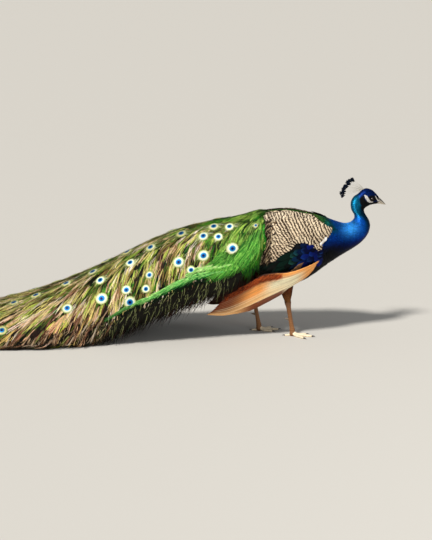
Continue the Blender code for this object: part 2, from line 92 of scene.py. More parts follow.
COVERT_TOP = np.array([(18.9, 93), (19.15, 94), (19.7, 83), (20.4, 79), (21.2, 87), (22.3, 96), (23.4, 109)], float)
PRIM_TOP = np.array([(0.0940, 0.2760), (0.0500, 0.2560), (-0.0100, 0.2380), (-0.0900, 0.2300), (-0.1500, 0.2000), (-0.2200, 0.1600), (-0.2890, 0.1140)])
PRIM_LOW = np.array([(0.0920, 0.2620), (0.0580, 0.2220), (-0.0050, 0.1830), (-0.0900, 0.1400), (-0.1550, 0.1080), (-0.2200, 0.0850), (-0.2920, 0.0820)])
PRIM_Y = np.array([0.0850, 0.0960, 0.1055, 0.1080, 0.1060, 0.1030, 0.0970])[:, None]
LEGS = {
    "right": dict(ankle=(0.0075, -0.050), heading=-14, hock=(-0.0095, -0.050, 0.124), hip=(-0.022, -0.046, 0.236)),
    "left": dict(ankle=(-0.107, 0.026), heading=6, hock=(-0.126, 0.036, 0.122), hip=(-0.075, 0.044, 0.240)),
}
EYE = np.array([0.2790, 0.0147, 0.4795])
EYE_R = 0.0066


# ---------------------------------------------------------------- numbers
def spline(rows, t):
    rows = np.asarray(rows, float)
    n = len(rows)
    t = np.clip(np.asarray(t, float), 0, n - 1.0)
    i = np.minimum(t.astype(int), n - 2)
    f = (t - i)[..., None]
    a, b, c, d = rows[np.maximum(i - 1, 0)], rows[i], rows[i + 1], rows[np.minimum(i + 2, n - 1)]
    return 0.5 * (2 * b + (c - a) * f + (2 * a - 5 * b + 4 * c - d) * f * f + (3 * b - a - 3 * c + d) * f ** 3)


def along(rows, u):
    return spline(rows, np.asarray(u, float) * (len(rows) - 1))


def unit(v):
    return v / np.maximum(np.linalg.norm(v, axis=-1, keepdims=True), 1e-12)


def step(lo, hi, x):
    f = np.clip((np.asarray(x, float) - lo) / (hi - lo), 0, 1)
    return f * f * (3 - 2 * f)


def mix(a, b, f):
    return np.asarray(a) * (1 - np.asarray(f)[..., None]) + np.asarray(b) * np.asarray(f)[..., None]


def srgb(r, g, b):
    c = np.array([r, g, b], float) / 255
    return np.where(c <= 0.04045, c / 12.92, ((c + 0.055) / 1.055) ** 2.4)


def ripple(p, scale, seed=0.0):
    """A smooth, cheap noise of place, about -1 to 1."""
    q = np.asarray(p) * scale + seed
    return (np.sin(q[..., 0] * 1.7 + 1.3 * np.sin(q[..., 1] * 1.1 + seed)) + np.sin(q[..., 1] * 2.1 + 1.7 * np.sin(q[..., 2] * 1.3)) + np.sin(q[..., 2] * 1.9 + 1.1 * np.sin(q[..., 0] * 0.9 + 2))) / 3


# ---------------------------------------------------------------- surfaces, in the bird's own frame
def power(v, e):
    return np.sign(v) * np.abs(v) ** e


def body(t, a, grow=0.0):
    t, a = np.broadcast_arrays(np.asarray(t, float), np.asarray(a, float))
    r = spline(BODY, t)
    c = np.stack([(r[..., 0] + r[..., 2]) / 2, 0 * t, (r[..., 1] + r[..., 3]) / 2], -1)
    n = np.stack([(r[..., 0] - r[..., 2]) / 2, 0 * t, (r[..., 1] - r[..., 3]) / 2], -1)
    half = np.linalg.norm(n, axis=-1)
    n = n * ((half + grow) / half)[..., None]
    full = 0.90 + 0.10 * np.clip(1 - t / 12, 0, 1)
    side = (r[..., 4] + grow) * power(np.sin(a), full)
    return c + n * power(np.cos(a), full)[..., None] + np.stack([0 * t, side, 0 * t], -1)


class Surface:
    """A surface given by a function of two numbers: the first runs with the lie of the feathers."""

    def __init__(self, pos, eu, ev, sign):
        self.pos, self.eu, self.ev, self.sign = pos, eu, ev, sign

    def frame(self, u, v):
        p = self.pos(u, v)
        du = self.pos(u + self.eu, v) - self.pos(u - self.eu, v)
        dv = self.pos(u, v + self.ev) - self.pos(u, v - self.ev)
        n = unit(np.cross(du, dv)) * self.sign
        return p, unit(du), n, np.linalg.norm(du, axis=-1) / (2 * self.eu), np.linalg.norm(dv, axis=-1) / (2 * self.ev)


BODY_S = Surface(lambda t, a: body(t, a), 0.02, 0.02, 1)
_p, _d, _n, _, _ = BODY_S.frame(np.array([21.0]), np.array([1.5]))
if _n[0, 1] < 0:
    BODY_S.sign = -1


def wing_surface(top, low, side, thick, share=1.0, lift=0.0014):
    s = -1 if side == "right" else 1

    def pos(u, v):
        u, v = np.broadcast_arrays(np.asarray(u, float), np.asarray(v, float))
        w = along(top, u) * (1 - v)[..., None] + along(low, u) * v[..., None]
        p, _, n, _, _ = BODY_S.frame(w[..., 0], np.radians(w[..., 1]))
        h = thick * (0.30 + 0.70 * np.sin(math.pi * np.clip(0.10 + 0.80 * v, 0, 1)) * np.sin(math.pi * np.clip(0.12 + 0.76 * u, 0, 1)))
        p = p + n * (lift + h * share)[..., None]
        return p * np.array([1, s, 1])

    surf = Surface(pos, 0.01, 0.01, 1)
    _, _, n, _, _ = surf.frame(np.array([0.5]), np.array([0.5]))
    if n[0, 1] * s < 0:
        surf.sign = -1
    return surf


def train_pos(x, q, inset=0.0):
    """The train's upper surface: q is 0 on the ridge and 1 or -1 on the rims; beyond them it hangs, then lies on the floor."""
    x, q = np.broadcast_arrays(np.asarray(x, float), np.asarray(q, float))
    t = np.interp(-x, -TRAIN[:, 0], np.arange(len(TRAIN)))
    r = spline(TRAIN, t)
    top, w, rim = r[..., 1], r[..., 2], np.maximum(r[..., 3], 0)
    qc = np.clip(q, -1, 1)
    y = np.sin(qc * math.pi / 2)
    arch = np.clip(1 - np.abs(y) ** 2.2, 0, 1) ** 0.62
    z = rim + 0.003 + (top - rim - 0.003 - inset) * arch
    y = y * (w - inset)
    over = np.maximum(np.abs(q) - 1, 0) * w * 1.2
    drop = np.minimum(over, np.maximum(z - 0.004, 0))
    y = y + np.sign(q) * (0.12 * drop + (over - drop) * 0.8)
    # Behind the last station the surface runs on, low and level.
    beyond = np.minimum(x - TRAIN[-1, 0], 0)
    return np.stack([np.maximum(x, TRAIN[-1, 0]) + beyond, y, z - drop], -1)


TRAIN_S = Surface(lambda b, q: train_pos(-b, q), 0.003, 0.01, 1)      # b grows backwards
_, _, _n, _, _ = TRAIN_S.frame(np.array([0.5]), np.array([0.0]))
if _n[0, 2] < 0:
    TRAIN_S.sign = -1


# ---------------------------------------------------------------- meshes
def build(name, verts, quads, mat, col=None, uvs=None, smooth=True, tris=None):
    """A mesh object from arrays; verts are in the bird's frame."""
    me = bpy.data.meshes.new(name)
    verts = np.asarray(verts, float).reshape(-1, 3) + SHIFT
    loops = [np.asarray(quads, np.int32).reshape(-1)]
    starts = [np.arange(len(loops[0]) // 4, dtype=np.int32) * 4]
    if tris is not None and len(tris):
        t = np.asarray(tris, np.int32).reshape(-1)
        starts.append(len(loops[0]) + np.arange(len(t) // 3, dtype=np.int32) * 3)
        loops.append(t)
    loops, starts = np.concatenate(loops), np.concatenate(starts)
    me.vertices.add(len(verts))
    me.vertices.foreach_set("co", verts.astype(np.float32).ravel())
    me.loops.add(len(loops))
    me.loops.foreach_set("vertex_index", loops)
    me.polygons.add(len(starts))
    me.polygons.foreach_set("loop_start", starts)
    me.update(calc_edges=True)
    if col is not None:
        c = np.asarray(col, float).reshape(len(verts), -1)
        if c.shape[1] == 3:
            c = np.concatenate([c, np.zeros((len(c), 1))], 1)
        layer = me.color_attributes.new("Col", "FLOAT_COLOR", "POINT")
        layer.data.foreach_set("color", c.astype(np.float32).ravel())
    for key, uv in (uvs or {}).items():
        layer = me.uv_layers.new(name=key)
        layer.data.foreach_set("uv", np.asarray(uv, float).reshape(-1, 2)[loops].astype(np.float32).ravel())
    if smooth:
        me.shade_smooth()
    me.materials.append(mat)
    obj = bpy.data.objects.new(name, me)
    bpy.context.scene.collection.objects.link(obj)
    return obj


def grid_quads(nu, nv, closed=False):
    i, j = np.meshgrid(np.arange(nu - 1), np.arange(nv if closed else nv - 1), indexing="ij")
    k = (j + 1) % nv
    return np.stack([i * nv + j, (i + 1) * nv + j, (i + 1) * nv + k, i * nv + k], -1).reshape(-1, 4)


class Coat:
    """Gathers vanes and strands that become one joined mesh."""

    def __init__(self):
        self.v, self.f, self.c, self.bake, self.vane, self.n = [], [], [], [], [], 0

    def add(self, verts, quads, col, bake, vane):
        m = verts.shape[0]
        k = int(np.prod(verts.shape[1:-1]))
        self.v.append(verts.reshape(-1, 3))
        self.f.append((quads[None] + (np.arange(m) * k)[:, None, None] + self.n).reshape(-1, 4))
        self.c.append(col.reshape(-1, 4))
        self.bake.append(bake.reshape(-1, 2))
        self.vane.append(vane.reshape(-1, 2))
        self.n += m * k

    def count(self):
        return 2 * sum(len(f) for f in self.f)

    def make(self, name, mat):
        v = np.concatenate(self.v)
        v[:, 2] = np.maximum(v[:, 2], 0.0006)
        wide = np.abs(v[:, 1])
        v[:, 1] = np.sign(v[:, 1]) * (np.minimum(wide, 0.232) + 0.020 * np.tanh(np.maximum(wide - 0.232, 0) / 0.03))
        obj = build(name, v, np.concatenate(self.f), mat, np.concatenate(self.c), {"OFBake": np.concatenate(self.bake), "Vane": np.concatenate(self.vane)})
        print(name, self.count(), "triangles")
        return obj


def vanes(coat, P, D, N, L, W, col, root_uv, nu=5, nv=3, lift=0.10, bend=0.10, cup=0.18, sink=0.0008, blunt=0.55, waist=0.35, shade=None, along0=0.0, patch=0.003, frayed=0.0, sweep=0.0):
    """Flat feathers rooted at P that run along D over a surface with normal N. col is (M,4), or (M,nu,nv,4)."""
    M = len(P)
    L, W = np.broadcast_to(L, M).astype(float), np.broadcast_to(W, M).astype(float)
    lift, bend = np.broadcast_to(lift, M), np.broadcast_to(bend, M)
    D = unit(D - N * np.sum(D * N, -1, keepdims=True))
    B = np.cross(N, D)
    u, v = np.linspace(0, 1, nu), np.linspace(-1, 1, nv)
    if nu >= 10:
        u = 1 - (1 - u) ** 1.7
    prof = (waist + (1 - waist) * step(0, 0.45, u)) * np.sqrt(np.clip(1 - (np.clip(u - blunt, 0, 1) / (1.0001 - blunt)) ** 2.4, 0.02, 1))
    tip = 1 - 0.10 * v ** 2
    X = u[None, :, None] * L[:, None, None] * tip[None, None, :]
    Y = v[None, None, :] * (W / 2)[:, None, None] * prof[None, :, None]
    if frayed:
        X = X + RNG.normal(0, 1, (M, nu, nv)) * frayed * L[:, None, None] * (u ** 2)[None, :, None]
    Y = Y + sweep * (u ** 2)[None, :, None] * L[:, None, None]
    H = -sink + (lift * L)[:, None, None] * u[None, :, None] - (bend * L)[:, None, None] * (u ** 2)[None, :, None] - cup * (W / 2)[:, None, None] * (v ** 2)[None, None, :] * prof[None, :, None]
    V = P[:, None, None] + D[:, None, None] * X[..., None] + B[:, None, None] * Y[..., None] + N[:, None, None] * H[..., None]
    c = np.asarray(col, float)
    if c.ndim == 2:
        c = np.broadcast_to(c[:, None, None], (M, nu, nv, 4)).copy()
    if shade is not None:
        c = c.copy()
        c[..., :3] *= shade[None, :, :, None]
    bake = root_uv[:, None, None] + np.stack(np.broadcast_arrays(v[None, None, :] * patch / 2, (u[None, :, None] - 0.5) * patch), -1)
    vane = np.stack([Y * 100, X * 100 + np.broadcast_to(along0, M)[:, None, None] * 100], -1)
    coat.add(V, grid_quads(nu, nv), c, bake, vane)


def laid(coat, surf, U, V, L, W, col, root_uv, nu=5, nv=3, base=-0.001, tip=0.0004, blunt=0.5, waist=0.4, shade=None, sway=0.0, patch=0.003, umax=None, along0=0.0, vclip=0.7, paint=None):
    """Feathers that follow a surface from (U, V): each root lies at height base and its tip at height tip."""
    M = len(U)
    L, W, base, tip, sway = (np.broadcast_to(x, M).astype(float) for x in (L, W, base, tip, sway))
    _, _, _, lu, lv = surf.frame(U, V)
    u, v = np.linspace(0, 1, nu), np.linspace(-1, 1, nv)
    prof = (waist + (1 - waist) * step(0, 0.45, u)) * np.sqrt(np.clip(1 - (np.clip(u - blunt, 0, 1) / (1.0001 - blunt)) ** 2.4, 0.02, 1))
    X = u[None, :, None] * L[:, None, None] * (1 - 0.10 * v ** 2)[None, None, :]
    Y = v[None, None, :] * (W / 2)[:, None, None] * prof[None, :, None]
    Z = Y + (sway * L)[:, None, None] * (u ** 1.3)[None, :, None]
    UU = U[:, None, None] + X / np.maximum(lu, 1e-4)[:, None, None]
    if umax is not None:
        UU = np.minimum(UU, umax)
    VV = V[:, None, None] + np.clip(Z / np.maximum(lv, 0.003)[:, None, None], -vclip, vclip)
    p, _, n, _, _ = surf.frame(UU, VV)
    H = base[:, None, None] + (tip - base)[:, None, None] * (u ** 0.85)[None, :, None] - 0.05 * np.abs(Y)
    c = np.asarray(col, float)
    if c.ndim == 2:
        c = np.broadcast_to(c[:, None, None], (M, nu, nv, 4)).copy()
    if shade is not None:
        c = c.copy()
        c[..., :3] *= shade[None, :, :, None]
    if paint is not None:
        c = paint(p, c)
    bake = root_uv[:, None, None] + np.stack(np.broadcast_arrays(v[None, None, :] * patch / 2, (u[None, :, None] - 0.5) * patch), -1)
    vane = np.stack([Y * 100, X * 100 + np.broadcast_to(along0, M)[:, None, None] * 100], -1)
    coat.add(p + n * H[..., None], grid_quads(nu, nv), c, bake, vane)


# Brightness over a vane from root to tip and across: the darker root is painted shade where the feathers above cover
# it, a tip factor above 1 is a painted highlight, and the edge factor darkens or lightens its sides.
def edge_shade(nu, nv, root=0.55, tip=1.0, edge=0.75):
    u, v = np.linspace(0, 1, nu)[:, None], np.linspace(-1, 1, nv)[None]
    return (root + (tip - root) * step(0, 0.7, u)) * (1 - (1 - edge) * np.abs(v) ** 2) + 0 * u * v


def ribbons(coat, paths, normals, width, col, root_uv, patch=0.003):
    """Thin tapering strips along paths (M,nu,3); col is (M,nu,4)."""
    M, nu = paths.shape[:2]
    t = unit(np.gradient(paths, axis=1))
    b = unit(np.cross(normals, t))
    u = np.linspace(0, 1, nu)
    taper = np.clip(1.05 - u ** 2.2, 0.12, 1) * (0.6 + 0.4 * step(0, 0.2, u))
    w = (np.broadcast_to(width, M)[:, None] * taper[None] / 2)[..., None]
    V = np.stack([paths - b * w, paths + b * w], 2)
    c = np.broadcast_to(col[:, :, None], (M, nu, 2, 4))
    v = np.array([-1.0, 1.0])
    bake = root_uv[:, None, None] + np.stack(np.broadcast_arrays(v[None, None, :] * patch / 2, (u[None, :, None] - 0.5) * patch), -1)
    vane = np.stack(np.broadcast_arrays(v[None, None, :] * 0.05, u[None, :, None] * 5.0), -1) + np.zeros((M, 1, 1, 1))
    coat.add(V, grid_quads(nu, 2), c, bake, vane)


def join(meshes):
    """(verts, quads) pairs as one."""
    vs, fs, n = [], [], 0
    for v, f in meshes:
        v = np.asarray(v, float).reshape(-1, 3)
        vs.append(v)
        fs.append(np.asarray(f) + n)
        n += len(v)
    return np.concatenate(vs), np.concatenate(fs)


def tube(path, radii, n=16, squash=1.0, floor=None, up=None):
    path = np.asarray(path, float)
    radii = np.asarray(radii, float)
    d = unit(np.gradient(path, axis=0))
    ref = np.array([0, 0, 1.0]) if up is None else np.asarray(up, float)
    side = np.cross(ref, d)
    side = np.where(np.linalg.norm(side, axis=-1, keepdims=True) > 0.05, side, np.array([0, 1.0, 0]))
    side = unit(side)
    upv = unit(np.cross(d, side))
    a = np.arange(n) * TAU / n
    r = radii if radii.ndim == 2 else radii[:, None] * np.ones(n)
    ring = path[:, None] + side[:, None] * (np.cos(a) * r)[..., None] + upv[:, None] * (np.sin(a) * r * squash)[..., None]
    if floor is not None:
        ring[..., 2] = np.maximum(ring[..., 2], floor)
    return ring


def capped(rings):
    """Verts and quads of a closed loft, its ends drawn in to a point."""
    rings = np.asarray(rings)
    first, last = rings[0].mean(0), rings[-1].mean(0)
    rings = np.concatenate([(first + (rings[0] - first) * 0.02)[None], rings, (last + (rings[-1] - last) * 0.02)[None]])
    nu, nv = rings.shape[:2]
    return rings.reshape(-1, 3), grid_quads(nu, nv, True)


# ---------------------------------------------------------------- materials
def node(tree, kind, **inputs):
    n = tree.nodes.new(kind)
    for k, v in inputs.items():
        if k.startswith("_"):
            setattr(n, k[1:], v)
        else:
            n.inputs[k.replace("__", " ")].default_value = v
    return n


def attr_material(name, rough=(0.72, 0.34), metal=(0.0, 0.75), striae=0.0, bars=False, noise=0.12, noise_scale=260.0, bump=0.0, bump_scale=600.0, specular=0.5, shaft=None, coat=0.0, sheen=0.0):
    """Paint from the mesh's own colours; their alpha says how far a place is glossy and metallic."""
    m = bpy.data.materials.new(name)
    m.use_nodes = True
    t = m.node_tree
    p = t.nodes["Principled BSDF"]
    link = t.links.new
    a = node(t, "ShaderNodeAttribute", _attribute_name="Col", _attribute_type="GEOMETRY")
    where = node(t, "ShaderNodeTexCoord")
    nz = node(t, "ShaderNodeTexNoise", Scale=noise_scale, Detail=3.0, Roughness=0.6)
    link(where.outputs["Object"], nz.inputs["Vector"])
    r = node(t, "ShaderNodeMapRange")
    r.inputs["From Min"].default_value, r.inputs["From Max"].default_value = 0.3, 0.7
    r.inputs["To Min"].default_value, r.inputs["To Max"].default_value = 1 - noise, 1 + noise
    link(nz.outputs["Fac"], r.inputs["Value"])
    colour = node(t, "ShaderNodeVectorMath", _operation="SCALE")
    link(a.outputs["Color"], colour.inputs[0])
    link(r.outputs["Result"], colour.inputs["Scale"])
    out = colour.outputs[0]
    height = None
    if striae or bars or shaft is not None:
        uv = node(t, "ShaderNodeUVMap", _uv_map="Vane")
        sep = node(t, "ShaderNodeSeparateXYZ")
        link(uv.outputs["UV"], sep.inputs[0])
    if striae:
        ab = node(t, "ShaderNodeMath", _operation="ABSOLUTE")
        link(sep.outputs["X"], ab.inputs[0])
        s = node(t, "ShaderNodeMath", _operation="MULTIPLY_ADD")
        link(ab.outputs[0], s.inputs[0])
        s.inputs[1].default_value = -1.1
        link(sep.outputs["Y"], s.inputs[2])
        wob = node(t, "ShaderNodeTexNoise", Scale=1.3, Detail=2.0)
        link(uv.outputs["UV"], wob.inputs["Vector"])
        add = node(t, "ShaderNodeMath", _operation="MULTIPLY_ADD")
        link(wob.outputs["Fac"], add.inputs[0])
        add.inputs[1].default_value = 1.2
        link(s.outputs[0], add.inputs[2])
        comb = node(t, "ShaderNodeCombineXYZ")
        link(add.outputs[0], comb.inputs["X"])
        barb = node(t, "ShaderNodeTexNoise", Scale=9.0, Detail=4.0, Roughness=0.7)
        link(comb.outputs[0], barb.inputs["Vector"])
        rr = node(t, "ShaderNodeMapRange")
        rr.inputs["From Min"].default_value, rr.inputs["From Max"].default_value = 0.32, 0.68
        rr.inputs["To Min"].default_value, rr.inputs["To Max"].default_value = 1 - striae, 1 + striae * 0.7
        link(barb.outputs["Fac"], rr.inputs["Value"])
        mul = node(t, "ShaderNodeVectorMath", _operation="SCALE")
        link(out, mul.inputs[0])
        link(rr.outputs["Result"], mul.inputs["Scale"])
        out = mul.outputs[0]
        height = barb.outputs["Fac"]
    if bars:
        warp = node(t, "ShaderNodeTexNoise", Scale=1.35, Detail=3.0, Roughness=0.55)
        link(uv.outputs["UV"], warp.inputs["Vector"])
        add = node(t, "ShaderNodeMath", _operation="MULTIPLY_ADD")
        link(warp.outputs["Fac"], add.inputs[0])
        add.inputs[1].default_value = 1.15
        link(sep.outputs["Y"], add.inputs[2])
        sc = node(t, "ShaderNodeMath", _operation="MULTIPLY")
        link(add.outputs[0], sc.inputs[0])
        sc.inputs[1].default_value = TAU / 0.98
        sn = node(t, "ShaderNodeMath", _operation="SINE")
        link(sc.outputs[0], sn.inputs[0])
        rr = node(t, "ShaderNodeMapRange", _interpolation_type="SMOOTHSTEP")
        rr.inputs["From Min"].default_value, rr.inputs["From Max"].default_value = -0.24, 0.10
        link(sn.outputs[0], rr.inputs["Value"])
        mixer = node(t, "ShaderNodeMix", _data_type="RGBA")
        ins = [i for i in mixer.inputs if i.type == "RGBA"]
        dark = node(t, "ShaderNodeVectorMath", _operation="MULTIPLY")
        link(out, dark.inputs[0])
        dark.inputs[1].default_value = (0.060, 0.046, 0.040)
        fac = [i for i in mixer.inputs if i.type == "VALUE"][0]
        link(rr.outputs["Result"], fac)
        link(dark.outputs[0], ins[0])
        link(out, ins[1])
        out = [o for o in mixer.outputs if o.type == "RGBA"][0]
    if shaft is not None:
        ab2 = node(t, "ShaderNodeMath", _operation="ABSOLUTE")
        link(sep.outputs["X"], ab2.inputs[0])
        rr = node(t, "ShaderNodeMapRange", _interpolation_type="SMOOTHSTEP")
        rr.inputs["From Min"].default_value, rr.inputs["From Max"].default_value = 0.04, 0.12
        rr.inputs["To Min"].default_value, rr.inputs["To Max"].default_value = shaft, 1.0
        link(ab2.outputs[0], rr.inputs["Value"])
        mul = node(t, "ShaderNodeVectorMath", _operation="SCALE")
        link(out, mul.inputs[0])
        link(rr.outputs["Result"], mul.inputs["Scale"])
        out = mul.outputs[0]
    link(out, p.inputs["Base Color"])
    for socket, (lo, hi) in (("Roughness", rough), ("Metallic", metal)):
        mr = node(t, "ShaderNodeMapRange")
        mr.inputs["To Min"].default_value, mr.inputs["To Max"].default_value = lo, hi
        link(a.outputs["Alpha"], mr.inputs["Value"])
        link(mr.outputs["Result"], p.inputs[socket])
    p.inputs["Specular IOR Level"].default_value = specular
    p.inputs["Coat Weight"].default_value = coat
    p.inputs["Sheen Weight"].default_value = sheen
    if bump:
        b = node(t, "ShaderNodeBump", Strength=bump, Distance=0.0006)
        if height is None:
            n2 = node(t, "ShaderNodeTexNoise", Scale=bump_scale, Detail=3.0)
            link(where.outputs["Object"], n2.inputs["Vector"])
            height = n2.outputs["Fac"]
        link(height, b.inputs["Height"])
        link(b.outputs["Normal"], p.inputs["Normal"])
    return m


M_SKIN = attr_material("skin", rough=(0.85, 0.5), metal=(0.0, 0.4), specular=0.12, noise=0.10, noise_scale=900, bump=0.35, bump_scale=1500)
M_GLOSS = attr_material("plumage_glossy", rough=(0.62, 0.42), metal=(0.0, 0.80), specular=0.12, noise=0.22, noise_scale=320)
M_LARGE = attr_material("plumage_large", rough=(0.62, 0.34), metal=(0.0, 0.75), specular=0.15, striae=0.34, bump=0.22, shaft=0.60, noise=0.10)
M_BARRED = attr_material("plumage_barred", rough=(0.8, 0.5), metal=(0.0, 0.3), specular=0.12, bars=True, noise=0.10)
M_STRAND = attr_material("plumage_loose", rough=(0.66, 0.42), metal=(0.0, 0.45), specular=0.12, noise=0.16, noise_scale=200)
M_EYES = attr_material("eyespots", rough=(0.6, 0.30), metal=(0.0, 0.55), specular=0.15, striae=0.16, bump=0.3, noise=0.06)
M_HORN = attr_material("horn", rough=(0.42, 0.25), metal=(0.0, 0.0), noise=0.10, noise_scale=500, bump=0.15, bump_scale=900)
M_LEG = attr_material("leg_skin", rough=(0.55, 0.35), metal=(0.0, 0.0), noise=0.20, noise_scale=420, bump=0.4, bump_scale=1100)
M_EYE = attr_material("eye_ball", rough=(0.16, 0.08), metal=(0.0, 0.0), noise=0.12, noise_scale=1500, specular=0.28, coat=0.15)


def rgba(rgb, a, n=None):
    c = np.concatenate([np.asarray(rgb, float), [a]])
    return c if n is None else np.tile(c, (n, 1))


# Plumage colours (linear), each with how metallic it is.
NAVY = rgba(srgb(2, 12, 52), 0.8)
CROWN = rgba(srgb(4, 34, 96), 0.85)
TEAL = rgba(srgb(2, 96, 122), 0.95)
AZURE = rgba(srgb(4, 84, 196), 1.0)
DEEP = rgba(srgb(2, 30, 124), 0.95)
BLACKISH = rgba(srgb(6, 9, 14), 0.25)
MANTLE = rgba(srgb(14, 92, 66), 0.8)
SCALE = rgba(srgb(62, 116, 26), 0.7)
GREENS = np.array([rgba(srgb(60, 150, 26), 0.55), rgba(srgb(30, 110, 24), 0.6), rgba(srgb(96, 170, 48), 0.5), rgba(srgb(26, 64, 14), 0.45), rgba(srgb(128, 158, 56), 0.4)])
TANS = np.array([rgba(srgb(176, 172, 106), 0.12), rgba(srgb(160, 150, 92), 0.12), rgba(srgb(126, 138, 60), 0.3), rgba(srgb(84, 92, 34), 0.35), rgba(srgb(50, 62, 24), 0.4), rgba(srgb(200, 184, 130), 0.08), rgba(srgb(112, 84, 50), 0.15), rgba(srgb(60, 124, 40), 0.45)])
BUFF = rgba(srgb(206, 188, 160), 0.0)


# ---------------------------------------------------------------- markings of head and body
def near_line(points, dx, dz):
    """Signed distance to a line of discs: below zero inside."""
    best = np.full(np.shape(dx), 1e9)
    for (ax, az, ar), (bx, bz, br) in zip(points[:-1], points[1:]):
        lx, lz = bx - ax, bz - az
        f = np.clip(((dx - ax) * lx + (dz - az) * lz) / (lx * lx + lz * lz), 0, 1)
        best = np.minimum(best, np.hypot(dx - ax - lx * f, dz - az - lz * f) - (ar + (br - ar) * f))
    return best


WHITE_BAND = [(-0.0248, 0.0122, 0.0022), (-0.0200, 0.0070, 0.0048), (-0.0158, 0.0002, 0.0050), (-0.0118, -0.0068, 0.0040), (-0.0050, -0.0112, 0.0030), (0.0035, -0.0115, 0.0014)]
WHITE_STRIPE = [(0.0118, 0.0094, 0.0008), (0.0158, 0.0026, 0.0013), (0.0200, -0.0040, 0.0016), (0.0242, -0.0096, 0.0020)]
BLACK_FACE = [(0.0250, 0.0020, 0.0045), (0.0130, 0.0005, 0.0070), (0.0000, 0.0000, 0.0115)]
BLACK_THROAT = [(0.0230, -0.0150, 0.0050), (0.0080, -0.0190, 0.0065), (-0.0060, -0.0210, 0.0080), (-0.0190, -0.0190, 0.0100), (-0.0290, -0.0100, 0.0090), (-0.0335, 0.0020, 0.0062), (-0.0300, 0.0090, 0.0030)]
BLACK_CHIN = [(-0.0150, -0.0200, 0.0090), (-0.0270, -0.0270, 0.0085), (-0.0300, -0.0340, 0.0050)]


def face_masks(p):
    dx, dz = p[..., 0] - EYE[0], p[..., 2] - EYE[2]
    white = 1 - step(-0.0007, 0.0007, np.minimum(near_line(WHITE_BAND, dx, dz), near_line(WHITE_STRIPE, dx, dz)))
    white = white * step(0.004, 0.008, np.abs(p[..., 1]))
    black = 1 - step(-0.0012, 0.0014, np.minimum(np.minimum(near_line(BLACK_FACE, dx, dz), near_line(BLACK_THROAT, dx, dz)), near_line(BLACK_CHIN, dx, dz)))
    return white, black


BELLY_BROWN = rgba(srgb(26, 20, 16), 0.05)


def body_colour(t, a, p):
    """Paint of the body's plumage at station t and angle a from the back."""
    t, a = np.broadcast_arrays(np.asarray(t, float), np.asarray(a, float))
    top = np.cos(a)
    c = mix(CROWN, TEAL, step(4.3, 6.0, t))
    c = mix(c, AZURE, step(8.6, 11.0, t))
    low = 1 - step(-0.75, 0.10, top)
    # Darker teal down the front of the neck: painted shade.
    c = mix(c, rgba(srgb(2, 46, 74), 0.75), step(4.6, 6.0, t) * (1 - step(11.0, 14.0, t)) * (1 - step(-0.55, 0.25 - 0.35 * step(8.0, 11.0, t), top)))
    c = mix(c, DEEP, step(12.0, 15.5, t) * (0.35 + 0.65 * low))
    c = mix(c, NAVY, step(14.0, 17.4, t) * (1 - step(-0.6, 0.35, top)))
    x, z = p[..., 0], p[..., 2]
    # Bright azure on the side of the lower neck, teal at the nape and a brighter blue patch further back: painted
    # highlights.
    c = mix(c, rgba(np.array([0.060, 0.48, 1.0]), 0.35), 0.98 * np.exp(-((x - 0.207) / 0.030) ** 2 - ((z - 0.385) / 0.024) ** 2))
    c = mix(c, rgba(srgb(10, 92, 132), 0.9), 0.75 * np.exp(-((x - 0.221) / 0.014) ** 2 - ((z - 0.456) / 0.030) ** 2))
    c = mix(c, rgba(np.array([0.008, 0.17, 0.60]), 0.6), 0.8 * np.exp(-((x - 0.150) / 0.030) ** 2 - ((z - 0.400) / 0.016) ** 2))
    # Near-black over the neck's lower front and underside: painted shade.
    c = mix(c, rgba(srgb(3, 8, 34), 0.5), (0.35 * step(7.0, 9.0, t) + 0.45 * step(11.0, 13.0, t)) * (1 - step(17.4, 18.4, t)) * (1 - step(-0.97, -0.50, top)))
    green = step(15.6, 16.7, t) * step(0.05, 0.55, top)
    c = mix(c, MANTLE, green)
    c = mix(c, SCALE, step(17.2, 18.6, t) * step(-0.1, 0.4, top))
    c = mix(c, BLACKISH, step(16.4, 18.4, t) * (1 - step(-0.5, 0.15, top)))
    c = mix(c, BELLY_BROWN, step(20.0, 22.5, t) * (1 - step(-0.4, 0.3, top)))
    white, black = face_masks(p)
    head = 1 - step(6.2, 7.2, t)
    c = mix(c, rgba(srgb(4, 6, 10), 0.2), black * head)
    return c, white * head


# ---------------------------------------------------------------- one skin for the flesh
def skin_depth(t):
    return -(0.0006 + 0.0022 * step(4.0, 9.0, t))


ts = np.concatenate([np.linspace(0, 6, 100), np.linspace(6, 16, 90)[1:], np.linspace(16, LAST, 90)[1:]])
NA = 96
aa = np.arange(NA) * TAU / NA
TT, AA = np.meshgrid(ts, aa, indexing="ij")
skin_v = body(TT, AA, skin_depth(TT))
# The eye lies in a shallow socket under a brow.
for s in (-1, 1):
    r = np.hypot(skin_v[..., 0] - EYE[0], (skin_v[..., 2] - EYE[2]) * 1.05)
    here = (np.sign(skin_v[..., 1]) == s) & (r < 0.0135)
    push = np.where(here, 0.0042 * np.clip(1 - (r / 0.0078) ** 2, 0, 1) - 0.0007 * np.exp(-((r - 0.0098) / 0.0018) ** 2), 0)
    skin_v[..., 1] -= s * push
body_skin = capped(skin_v)


